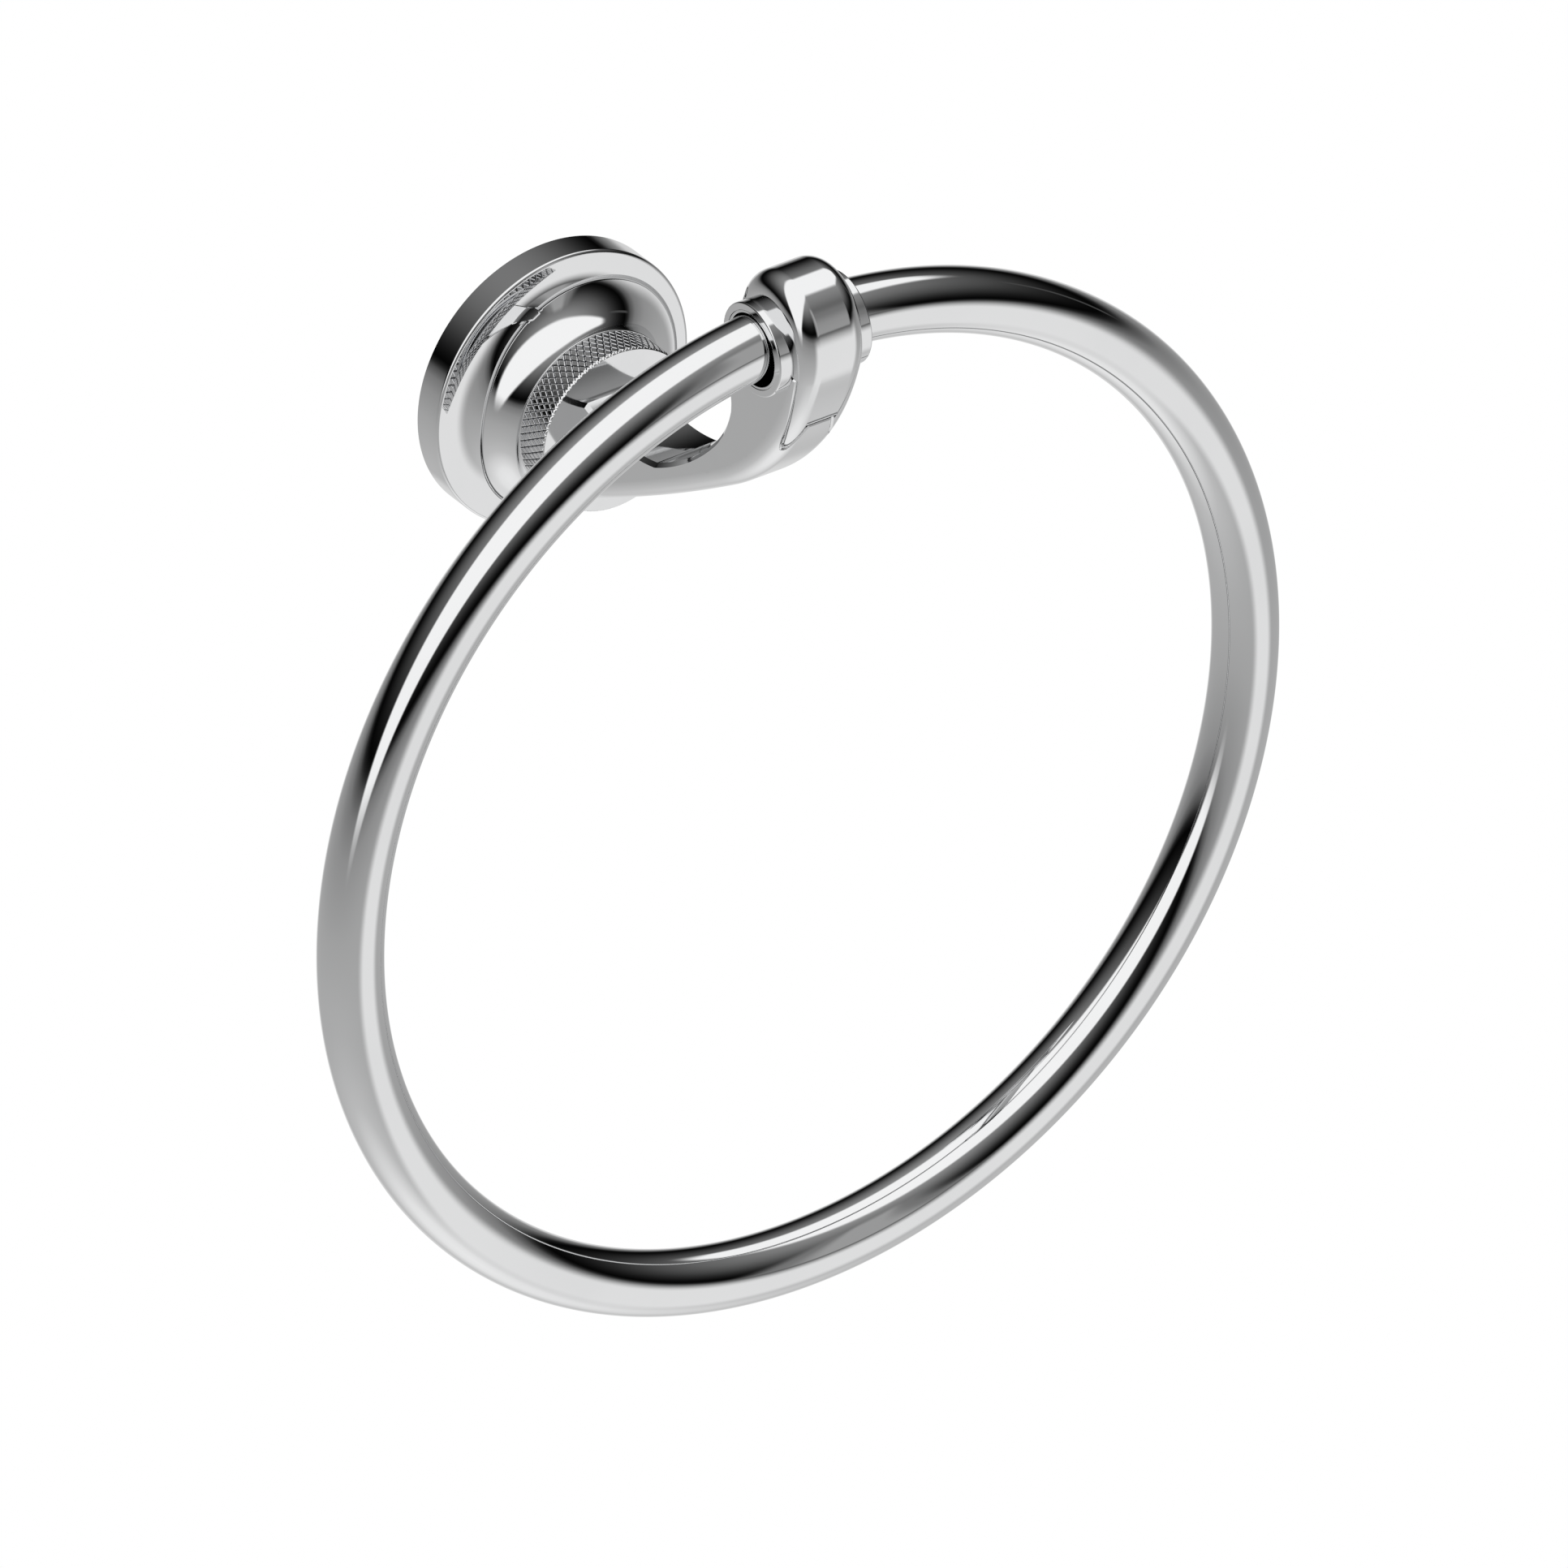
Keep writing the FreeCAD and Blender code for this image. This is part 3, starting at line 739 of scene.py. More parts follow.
@dataclass
class WallFlange:
    """The hollow wall flange, which sweeps up into a neck and carries the arm.

    Attributes:
        radius: radius of its rim.
        face: distance of its flat face from the wall.
        rim_round: rounding of the rim.
        neck: radius of its neck.
        flare: radius of the sweep from the face to the neck.
        neck_end: distance of the neck's end from the wall.
        seat: radius and bottom of the arm's seat.
        web: radius of the bolt's hole and the web's back.
        neck_hollow: radius of the hollow behind the neck.
        hollow: radius and depth of the hollow behind the face.
        grub: radius of the grub screw's hole, its distance from the wall and its depth.
        rim_steps: mesh steps over the rim's rounding.
        flare_steps: mesh steps over the sweep.
        segments: sections round the flange.
    """

    radius: float = 25.0
    face: float = 5.5
    rim_round: float = 0.6
    neck: float = 14.45
    flare: float = 8.75
    neck_end: float = 14.45
    seat: tuple[float, float] = (9.05, 11.6)
    web: tuple[float, float] = (3.3, 7.35)
    neck_hollow: float = 12.95
    hollow: tuple[float, float] = (23.4, 4.0)
    grub: tuple[float, float, float] = (1.55, 1.9, 2.5)
    rim_steps: int = 8
    flare_steps: int = 36
    segments: int = 320

    def outline(self) -> Outline:
        """Draw the flange's section.

        Returns:
            The closed section.
        """
        rim, foot = self.radius - self.rim_round, self.neck + self.flare
        section = Outline(self.radius, 0.0).line(self.radius, self.face - self.rim_round)
        section.arc((rim, self.face - self.rim_round), 90.0, self.rim_steps).line(foot, self.face)
        section.arc((foot, self.face + self.flare), -90.0, self.flare_steps, hollow=True)
        section.line(self.neck, self.neck_end).line(self.seat[0], self.neck_end).line(*self.seat)
        section.line(self.web[0], self.seat[1]).line(*self.web).line(self.neck_hollow, self.web[1])
        section.line(self.neck_hollow, self.hollow[1]).line(*self.hollow)
        return section.line(self.hollow[0], 0.0).close()

    def place(self, material: Material) -> None:
        """Turn the flange, cut its grub screw's hole and set it in place of its node.

        Args:
            material: its finish.
        """
        section = self.outline()
        lathe = Lathe(centre=(0.0, 0.0, 0.0), axis=(0.0, -1.0, 0.0), segments=self.segments)
        radius, out, depth = self.grub
        below = Vector((0.0, -out, -self.radius - CLEAR))
        hole = rod("grub_hole", below, below + Vector((0.0, 0.0, CLEAR + depth)), radius)
        piece = carve(lathe.turn("flange_cover", section), Cut.AWAY, hole)
        bpy.data.objects.remove(hole)

        def normals_at(spot: Vector) -> Iterable[Vector]:
            """List the normals that a point of the flange may have.

            Args:
                spot: the point in millimetres.

            Returns:
                The normals.
            """
            away = Vector((spot.x, 0.0, spot.z))
            around = away.normalized()
            return [around * lean - Vector((0.0, rise, 0.0)) for lean, rise in
                    section.normals_near(away.length, -spot.y)]

        shade(piece, normals_at)
        dress(piece, material)
        fit(piece, Body.WALL, Slot.PLATE, "wall_flange")


@dataclass(frozen=True)
class Bend:
    """A curved or straight stretch of the hook's side view, with the material on the left of the way.

    Attributes:
        start: its first end.
        finish: its last end.
        radius: of its arc, above 0 where it bulges, below 0 where it is hollow, and 0 where it is straight.
        steps: mesh steps along it.
        root: where its end at the collar is cut off square to the wall, as a distance from the wall.
    """

    start: tuple[float, float]
    finish: tuple[float, float]
    radius: float = 0.0
    steps: int = 24
    root: float | None = None

    def way(self) -> Vector:
        """Return the direction from the first end to the last."""
        return (Vector(self.finish) - Vector(self.start)).normalized()

    def centre(self) -> Vector:
        """Find the arc's centre.

        Returns:
            The centre in (out, up).
        """
        half = math.dist(self.start, self.finish) / 2
        way = self.way()
        left = Vector((-way.y, way.x)) * math.copysign(math.sqrt(self.radius ** 2 - half ** 2), self.radius)
        return (Vector(self.start) + Vector(self.finish)) / 2 + left

    def turns(self, depth: float) -> tuple[float, float]:
        """Find the angles between which the arc runs.

        Args:
            depth: how deep below the surface.

        Returns:
            The first and the last angle.
        """
        centre = self.centre()
        found = []
        for end in (self.start, self.finish):
            turn = math.atan2(end[1] - centre.y, end[0] - centre.x)
            if self.root is not None and abs(end[0] - self.root) < SAME:
                reach = abs(self.radius) - self.sign() * depth
                turn = math.copysign(math.acos((self.root - centre.x) / reach), turn)
            found.append(turn)
        if (found[1] - found[0]) * self.radius < 0:
            found[1] += math.copysign(2 * math.pi, self.radius)
        return found[0], found[1]

    def sign(self) -> float:
        """Return 1 for a bulging arc and -1 for a hollow one."""
        return math.copysign(1.0, self.radius)

    def spot(self, part: float, depth: float = 0.0) -> tuple[Vector, Vector]:
        """Return a point and the outward normal.

        Args:
            part: how far along the stretch, from 0 to 1.
            depth: how deep below the surface.

        Returns:
            The point and the normal, both in (out, up).
        """
        if self.radius == 0.0:
            way = self.way()
            normal = Vector((way.y, -way.x))
            return Vector(self.start).lerp(Vector(self.finish), part) - normal * depth, normal
        first, last = self.turns(depth)
        turn = first + (last - first) * part
        ray = Vector((math.cos(turn), math.sin(turn)))
        return self.centre() + ray * (abs(self.radius) - self.sign() * depth), ray * self.sign()

    def spots(self) -> list[Vector]:
        """Return the points at its mesh steps."""
        return [self.spot(n / self.steps)[0] for n in range(self.steps + 1)]

    def locate(self, place: Vector, slack: float = 0.3) -> tuple[float, Vector] | None:
        """Return how deep a place in the side view lies below this stretch, and the normal over it.

        Args:
            place: the place in (out, up).
            slack: how far it may lie beyond the stretch's ends.

        Returns:
            The depth and the normal, or None beyond the ends.
        """
        if self.radius == 0.0:
            way = self.way()
            reach = place - Vector(self.start)
            inside = -slack < reach.dot(way) < math.dist(self.start, self.finish) + slack
            normal = Vector((way.y, -way.x))
            return (-reach.dot(normal), normal) if inside else None
        centre, size = self.centre(), abs(self.radius)
        first, last = self.turns(0.0)
        ray = place - centre
        middle = (first + last) / 2
        away = (math.atan2(ray.y, ray.x) - middle + math.pi) % (2 * math.pi) - math.pi
        if abs(away) > abs(last - first) / 2 + slack / size:
            return None
        return (size - ray.length) * self.sign(), ray.normalized() * self.sign()


@dataclass
class Hook:
    """The hooked arm and the cap that closes its eye, which are cut from one swept bar.

    Attributes:
        half: half of its width.
        round: radius of its outer edges.
        bevel: bevel of its inner edges.
        rows: mesh steps over a rounded edge.
        axis: the eye's centre in (out, up).
        eye: radius of the eye.
        outer: stretches of the outside, from the collar under the arm and over the crown to the nape.
        fade: the line along which the rounding runs out of the nape.
        inner: stretches of the inside, from the nape back to the collar.
        growth: how fast the bevel grows beyond the end of the fading.
        least_bevel: the bevel at the end of the fading.
        gap: the play between the cap and the arm.
        groove: reach of the V-groove along the seam, to either side and down.
        seam: the seam's curve in the side view, down to the cap's tips.
        seam_entry: places of the seam inside the curve, as parts of the way to it from the eye's centre.
        back_seam: ends of the seam over the nape.
        nape_entry: place of that seam inside its first end, as a part of the way from the eye's centre.
        nape_steps: mesh steps over that seam.
        nape_overrun: how far the cap's space follows that seam, in lengths of it.
        tongue: half width and height at the head of the tongue between the cap's tips.
        tongue_step: length of the mesh steps along the tongue's sides.
        tip: the round end of a tip in the front view, from its flank to the tongue.
        tip_rise: rise of the cap's end from a tip's flank outwards.
        reach: how far the cap's space reaches from the eye's centre.
        spigot: radius of the spigot, its back and its front.
        bolt_hole: radius and front end of the draw bolt's hole.
        pin_hole: radius, height and front end of the arm pin's hole.
        dowel: side, out, up, radius and length of the holes for the cap's dowels.
        dowel_tilt: their tilt in degrees.
        bore_sides: sides of the eye and of the spigot.
        dowel_sides: sides of the dowels' holes.
        near: distance from a curved surface at which a point takes its normal.
        touch: distance over an edge at which a point still belongs to a surface.
    """

    half: float = 6.6
    round: float = 3.6
    bevel: float = 0.7
    rows: int = 14
    axis: tuple[float, float] = EYE_AXIS
    eye: float = 7.8
    outer: tuple[Bend, ...] = (
        Bend((21.1, -11.75), (59.75, 10.55), 458.0, 48, 21.1),
        Bend((59.75, 10.55), (82.99, 41.22), 56.04, 64),
        Bend((82.99, 41.22), (82.07, 52.49), 15.27, 40),
        Bend((82.07, 52.49), (65.11, 53.16), 9.67, 64),
        Bend((65.11, 53.16), (63.386, 49.089), 15.99, 14),
    )
    fade: Bend = Bend((63.386, 49.089), (58.54, 31.0))
    inner: tuple[Bend, ...] = (
        Bend((63.386, 49.089), (62.85, 45.36), 15.99, 14),
        Bend((62.85, 45.36), (62.477, 31.8), 0.0, 40),
        Bend((62.477, 31.8), (62.4, 29.0), 0.0, 8),
        Bend((62.4, 29.0), (57.6, 18.6), -20.8, 40),
        Bend((57.6, 18.6), (40.8, 5.95), -55.0, 40),
        Bend((40.8, 5.95), (21.1, 7.3), -32.0, 48, 21.1),
    )
    growth: float = 0.15
    least_bevel: float = 0.03
    gap: float = 0.12
    groove: float = 0.33
    seam: Bend = Bend((80.8, 42.0), (74.25, 25.0), -56.7, 40)
    seam_entry: tuple[float, ...] = (0.84, 0.92, 1.0)
    back_seam: tuple[tuple[float, float], tuple[float, float]] = ((66.5, 50.7), (65.11, 53.202))
    nape_entry: float = 0.88
    nape_steps: int = 16
    nape_overrun: float = 4.0
    tongue: tuple[float, float] = (2.25, 31.0)
    tongue_step: float = 0.45
    tip: tuple[tuple[float, float], ...] = (
        (5.12, 26.05), (5.0, 25.68), (4.8, 25.42), (4.54, 25.36), (4.32, 25.52), (4.2, 25.8))
    tip_rise: float = 0.1
    reach: float = 30.0
    spigot: tuple[float, float, float] = (9.0, 11.6, 21.1)
    bolt_hole: tuple[float, float] = (3.05, 21.95)
    pin_hole: tuple[float, float, float] = (1.3, 6.2, 14.2)
    dowel: tuple[float, float, float, float, float] = (3.6, 79.77, 38.0, 0.65, 2.9)
    dowel_tilt: float = 16.2
    bore_sides: int = 192
    dowel_sides: int = 48
    near: float = 0.05
    touch: float = 0.01

    @staticmethod
    def _solid(place: Vector, x: float) -> Vector:
        """Return a point in space from its place in the side view."""
        return Vector((x, -place.x, place.y))

    def _section(self, bend: Bend, part: float, beyond: float) -> list[tuple[Vector, float]]:
        """Draw one half of a section across the bar, from its middle to the flat side.

        Args:
            bend: the stretch.
            part: how far along it.
            beyond: distance from the end of the fading, below 0 before it.

        Returns:
            Pairs of a place in the side view and the distance from the middle plane.
        """
        steps = [n / self.rows for n in range(self.rows + 1)]
        if bend in self.outer:
            turns = [math.pi / 2 * step for step in steps]
            return [(bend.spot(part, self.round * (1 - math.cos(turn)))[0],
                     self.half - self.round * (1 - math.sin(turn))) for turn in turns]
        place, _ = bend.spot(part)
        if beyond < 0:
            depth, normal = self.fade.locate(place, self.reach)
            first = math.acos(min(1.0, 1 - max(0.0, depth) / self.round))
            turns = [first + (math.pi / 2 - first) * step for step in steps]
            return [(place - normal * (self.round * (1 - math.cos(turn)) - depth),
                     self.half - self.round * (1 - math.sin(turn))) for turn in turns]
        size = min(self.bevel, self.least_bevel + self.growth * beyond)
        return [(bend.spot(part, size * step)[0], self.half - size * (1 - step)) for step in steps]

    def bar(self) -> Piece:
        """Build the swept bar with its rounded and bevelled edges.

        Returns:
            The new object.
        """
        shape = bmesh.new()
        rings: list[Row] = []
        stretches = self.outer + self.inner
        travelled = -math.dist(self.inner[1].start, self.inner[1].finish)
        for number, bend in enumerate(stretches):
            last = number == len(stretches) - 1
            length = math.dist(bend.start, bend.finish)
            fading = number <= len(self.outer) + 1
            for n in range(bend.steps + (1 if last else 0)):
                beyond = -1.0 if fading else travelled + length * n / bend.steps
                section = self._section(bend, n / bend.steps, beyond)
                points = [self._solid(place, -x) for place, x in reversed(section)]
                points += [self._solid(place, x) for place, x in section]
                rings.append([shape.verts.new(point * MM) for point in points])
            travelled = 0.0 if number == len(self.outer) + 1 else travelled + (0.0 if fading else length)
        for ring, after in zip(rings, rings[1:]):
            for k in range(len(ring) - 1):
                shape.faces.new((ring[k], ring[k + 1], after[k + 1], after[k]))
        shape.faces.new([ring[0] for ring in rings])
        shape.faces.new([ring[-1] for ring in reversed(rings)])
        shape.faces.new(list(reversed(rings[0])) + rings[-1])
        return keep_closed("hook_bar", shape)

    def _surface(self, place: Vector) -> tuple[float, Vector]:
        """Find the bar's +X side over a place in the side view.

        Args:
            place: the place.

        Returns:
            The bar's half width there and the normal.
        """
        found = [hit for hit in (bend.locate(place) for bend in self.outer) if hit]
        depth, normal = min(found, key=lambda hit: hit[0])
        if depth >= self.round:
            return self.half, Vector((1.0, 0.0, 0.0))
        lean = min(1.0, (self.round - depth) / self.round)
        rise = math.sqrt(1 - lean ** 2)
        return self.half - self.round * (1 - rise), Vector((rise, -normal.x * lean, normal.y * lean))

    def _on_side(self, places: Iterable[Vector]) -> Trace:
        """Trace a line of the side view on the bar's +X side.

        Args:
            places: the line's places in the side view.

        Returns:
            The points and the normals there.
        """
        found = [(place, *self._surface(place)) for place in places]
        return [(self._solid(place, x), normal) for place, x, normal in found]

    def _in_front(self, x: float, up: float) -> tuple[Vector, Vector]:
        """Find the point of the hook's front at a place in the front view.

        Args:
            x: distance from the middle plane, positive to the right.
            up: height.

        Returns:
            The point and the normal there.
        """
        belly = self.outer[1]
        rise = max(0.0, abs(x) - self.half + self.round) / self.round
        depth = self.round * (1 - math.sqrt(1 - rise ** 2))
        centre = belly.centre()
        out = centre.x + math.sqrt((belly.radius - depth) ** 2 - (up - centre.y) ** 2)
        normal = (Vector((out, up)) - centre).normalized() * math.sqrt(1 - rise ** 2)
        return Vector((x, -out, up)), Vector((math.copysign(rise, x), -normal.x, normal.y))

    @staticmethod
    def _mirrored(trace: Iterable[tuple[Vector, Vector]]) -> Trace:
        """Return a line as it runs on the other side of the middle plane."""
        return [(point * MIRROR, normal * MIRROR) for point, normal in trace]

    def seam_runs(self) -> list[Trace]:
        """Trace the front seam, one run between every two of its corners.

        Returns:
            The runs on both sides, and the one over the head of the tongue.
        """
        shift = Vector((self.gap / 2, self.gap / 2))
        axis, start = Vector(self.axis), Vector(self.seam.start)
        entry = self._on_side(axis.lerp(start, part) + shift for part in self.seam_entry)
        least_up = self.tip[0][1] + self.groove
        flank = self._on_side(spot + shift for spot in self.seam.spots() if (spot + shift).y > least_up)
        head, top = self.tongue[0] + shift.x, self.tongue[1] + shift.y
        foot_x, foot_up = self.tip[-1]
        steps = round(math.dist((head, top), (foot_x, foot_up)) / self.tongue_step)
        side = [(foot_x + (head - foot_x) * n / steps, foot_up + (top - foot_up) * n / steps)
                for n in range(steps + 1)]
        runs = [entry, flank + [self._in_front(x, up) for x, up in (*self.tip[:-1], *side)]]
        runs += [self._mirrored(run) for run in runs]
        return runs + [[self._in_front(-head, top), self._in_front(head, top)]]

    def back_seam_path(self) -> Trace:
        """Trace the seam over the nape.

        Returns:
            The points and the normals there, from side to side.
        """
        inner, outer = Vector(self.back_seam[0]), Vector(self.back_seam[1])
        parts = [1 - (1 - n / self.nape_steps) ** 2 for n in range(self.nape_steps + 1)]
        entry = Vector(self.axis).lerp(inner, self.nape_entry)
        half_path: Trace = []
        for point, normal in self._on_side([entry, *(inner.lerp(outer, part) for part in parts)]):
            if not half_path or (point - half_path[-1][0]).length > self.groove:
                half_path.append((point, normal))
        return half_path + self._mirrored(reversed(half_path))

    def v_cutter(self, name: str, path: Trace) -> Piece:
        """Build the square bar that cuts a V-groove.

        Args:
            name: the object's name.
            path: the groove's line, without sharp corners.

        Returns:
            The new object.
        """
        shape = bmesh.new()
        rings: list[Row] = []
        for n, (point, normal) in enumerate(path):
            before = (point - path[n - 1][0]).normalized() if n else None
            after = (path[n + 1][0] - point).normalized() if n + 1 < len(path) else None
            way = ((before or after) + (after or before)).normalized()
            if before is None or after is None:
                point = point + way * (self.groove / 2 if before else -self.groove / 2)
            side = way.cross(normal).normalized()
            over = side.cross(way).normalized()
            rings.append([shape.verts.new((point + offset * self.groove) * MM)
                          for offset in (over, side, -over, -side)])
        for ring, after in zip(rings, rings[1:]):
            bridge(shape, ring, after)
        shape.faces.new(rings[0])
        shape.faces.new(rings[-1])
        return keep_closed(name, shape)

    def cap_space(self, name: str, shift: float) -> Piece:
        """Build the space that the cap takes.

        Args:
            name: the object's name.
            shift: how far every side is moved in.

        Returns:
            The new object.
        """
        seam = [spot + Vector((shift, 0.0)) for spot in self.seam.spots()]
        inner, outer = (Vector(end) + Vector((0.0, shift)) for end in self.back_seam)
        beyond = inner + (outer - inner) * self.nape_overrun
        right, up, low = self.axis[0] + self.reach, self.axis[1] + self.reach, self.axis[1] - self.reach
        corners = [inner, Vector(self.axis), *seam, Vector((seam[-1].x, low)), Vector((right, low)),
                   Vector((right, up)), Vector((beyond.x, up)), beyond]
        wide = 2 * self.half
        side = block(name, [self._solid(corner, -wide) for corner in corners], Vector((2 * wide, 0.0, 0.0)))
        head, top = self.tongue[0] + shift, self.tongue[1] + shift
        tip = [(x, height + shift) for x, height in self.tip]
        end, end_up = wide + CLEAR, tip[0][1] + self.tip_rise
        front = [(head, top), (-head, top), *((-x, height) for x, height in reversed(tip)), (-end, end_up),
                 (-end, low - CLEAR), (end, low - CLEAR), (end, end_up), *tip]
        tongue = block("tongue", [Vector((x, -self.reach, height)) for x, height in front],
                       Vector((0.0, -3 * self.reach, 0.0)))
        made = carve(side, Cut.AWAY, tongue)
        bpy.data.objects.remove(tongue)
        return made

    def normals_at(self, spot: Vector) -> Iterable[Vector]:
        """List the normals that a point of the hook may have.

        Args:
            spot: the point in millimetres.

        Returns:
            The normals, one by one.
        """
        place, side = Vector((-spot.y, spot.z)), math.copysign(1.0, spot.x)
        yield Vector((side, 0.0, 0.0))
        for bend in (*self.outer, self.fade):
            hit = bend.locate(place)
            if hit and -self.near < hit[0] < self.round + self.near:
                lean = min(1.0, max(0.0, (self.round - hit[0]) / self.round))
                if abs(spot.x) <= self.half - self.round + self.touch:
                    lean = 1.0
                rise = math.sqrt(1 - lean ** 2)
                yield Vector((side * rise, -hit[1].x * lean, hit[1].y * lean))
        for bend in self.inner:
            hit = bend.locate(place)
            if hit and abs(hit[0]) < self.near:
                yield Vector((0.0, -hit[1].x, hit[1].y))
        from_axis = place - Vector(self.axis)
        if abs(from_axis.length - self.eye) < self.near:
            yield Vector((0.0, from_axis.x, -from_axis.y)).normalized()
        around = Vector((spot.x, 0.0, spot.z))
        if place.x < self.spigot[2] + self.touch and abs(around.length - self.spigot[0]) < self.near:
            yield around.normalized()

    def _hole(self, name: str, place: tuple[float, float], finish: float, radius: float) -> Piece:
        """Build the rod that drills a hole square to the wall, from inside the spigot.

        Args:
            name: the object's name.
            place: (x, up) of the hole.
            finish: distance of its front end from the wall.
            radius: its radius.

        Returns:
            The new object.
        """
        x, up = place
        return rod(name, Vector((x, CLEAR - self.spigot[1], up)), Vector((x, -finish, up)), radius)

    def tools(self) -> dict[str, Piece]:
        """Build the shapes that are cut from the bar, and the spigot.

        Returns:
            The shapes by name.
        """
        out, up = self.axis
        wide = 2 * self.half
        radius, back, front = self.spigot
        made = {
            "eye": rod("eye", Vector((-wide, -out, up)), Vector((wide, -out, up)), self.eye, self.bore_sides),
            "back_seam": self.v_cutter("back_seam_groove", self.back_seam_path()),
            "spigot": rod("spigot", Vector((0.0, -back, 0.0)), Vector((0.0, -front, 0.0)), radius,
                          self.bore_sides),
            "bolt": self._hole("bolt_hole", (0.0, 0.0), self.bolt_hole[1], self.bolt_hole[0]),
            "pin": self._hole("pin_hole", (0.0, self.pin_hole[1]), self.pin_hole[2], self.pin_hole[0]),
        }
        side, out, up, radius, length = self.dowel
        tilt = math.radians(self.dowel_tilt)
        along = Vector((0.0, -math.cos(tilt), -math.sin(tilt))) * length / 2
        for name, x in (("dowel_left", -side), ("dowel_right", side)):
            middle = Vector((x, -out, up))
            made[name] = rod(name, middle - along, middle + along, radius, self.dowel_sides)
        for number, run in enumerate(self.seam_runs()):
            name = "seam_%d" % number
            made[name] = self.v_cutter(name, run)
        return made

    def place(self, material: Material) -> None:
        """Build the arm and the cap and set them in place of their nodes.

        Args:
            material: their finish.
        """
        tools = self.tools()
        spigot = carve(tools.pop("spigot"), Cut.AWAY, tools["bolt"], tools["pin"])
        blank = carve(self.bar(), Cut.AWAY, *(tool for name, tool in tools.items() if name != "pin"))
        cap_blank = bpy.data.objects.new("cap_cover", blank.data.copy())
        bpy.context.scene.collection.objects.link(cap_blank)
        arm_space, cap_space = self.cap_space("arm_space", 0.0), self.cap_space("cap_space", self.gap)
        blank.name = "hooked_arm"
        arm = carve(blank, Cut.AWAY, arm_space)
        shape = bmesh.new()
        shape.from_mesh(arm.data)
        shape.from_mesh(spigot.data)
        shape.to_mesh(arm.data)
        shape.free()
        cap = carve(cap_blank, Cut.WITHIN, cap_space)
        for tool in (*tools.values(), spigot, arm_space, cap_space):
            bpy.data.objects.remove(tool)
        for piece, node in ((arm, "arm"), (cap, "eye_cap")):
            shade(piece, self.normals_at)
            dress(piece, material)
            fit(piece, Body.WALL, Slot.PLATE, node)


@dataclass
class EyeBush:
    """A flanged bush in the eye, with the liner at its outer face.

    Attributes:
        side: "left" or "right".
        hand: -1 or 1, for the side of the middle plane.
        axis: the eye's centre in (out, up).
        bore: radius of the bush's bore.
        body: radius of the part inside the eye.
        head: radius of the part outside the eye.
        inner: distance of its inner end from the middle plane.
        shoulder: distance of its shoulder from the middle plane.
        face: distance of its outer face from the middle plane.
        edge: rounding of its outer edge.
        seat: radius and bottom of the liner's seat.
        liner: bore and outer radius of the liner.
        liner_face: distance of the liner's outer face from the middle plane.
        liner_edge: rounding of the liner's edges.
        edge_steps: mesh steps over the bush's rounding.
        liner_steps: mesh steps over a rounding of the liner.
        segments: sections round the bush.
    """

    side: str
    hand: float
    axis: tuple[float, float] = EYE_AXIS
    bore: float = 6.72
    body: float = 7.75
    head: float = 8.2
    inner: float = 0.4
    shoulder: float = 6.6
    face: float = 9.2
    edge: float = 0.3
    seat: tuple[float, float] = (6.95, 8.2)
    liner: tuple[float, float] = (6.4, 6.9)
    liner_face: float = 9.15
    liner_edge: float = 0.12
    edge_steps: int = 8
    liner_steps: int = 6
    segments: int = 256

    def place(self, plate: Material, lining: Material) -> None:
        """Turn the bush and its liner and set them in place of their nodes.

        Args:
            plate: the bush's finish.
            lining: the liner's finish.
        """
        lathe = Lathe((0.0, -self.axis[0], self.axis[1]), (self.hand, 0.0, 0.0), segments=self.segments)
        bush = Outline(self.bore, self.inner).line(self.body, self.inner).line(self.body, self.shoulder)
        bush.line(self.head, self.shoulder).line(self.head, self.face - self.edge)
        bush.arc((self.head - self.edge, self.face - self.edge), 90.0, self.edge_steps)
        bush.line(self.seat[0], self.face).line(*self.seat).line(self.bore, self.seat[1]).close()
        bore, outer, low = self.liner[0], self.liner[1], self.liner_face - self.liner_edge
        liner = Outline(bore, self.seat[1]).line(outer, self.seat[1]).line(outer, low)
        liner.arc((outer - self.liner_edge, low), 90.0, self.liner_steps)
        liner.line(bore + self.liner_edge, self.liner_face)
        liner.arc((bore + self.liner_edge, low), 90.0, self.liner_steps).close()
        for outline, name, node, material, slot in (
                (bush, "eye_bush_", "bush_", plate, Slot.PLATE),
                (liner, "bush_liner_", "liner_", lining, Slot.LINER)):
            piece = lathe.turn(name + self.side, outline)
            dress(piece, material)
            fit(piece, Body.WALL, slot, node + self.side)


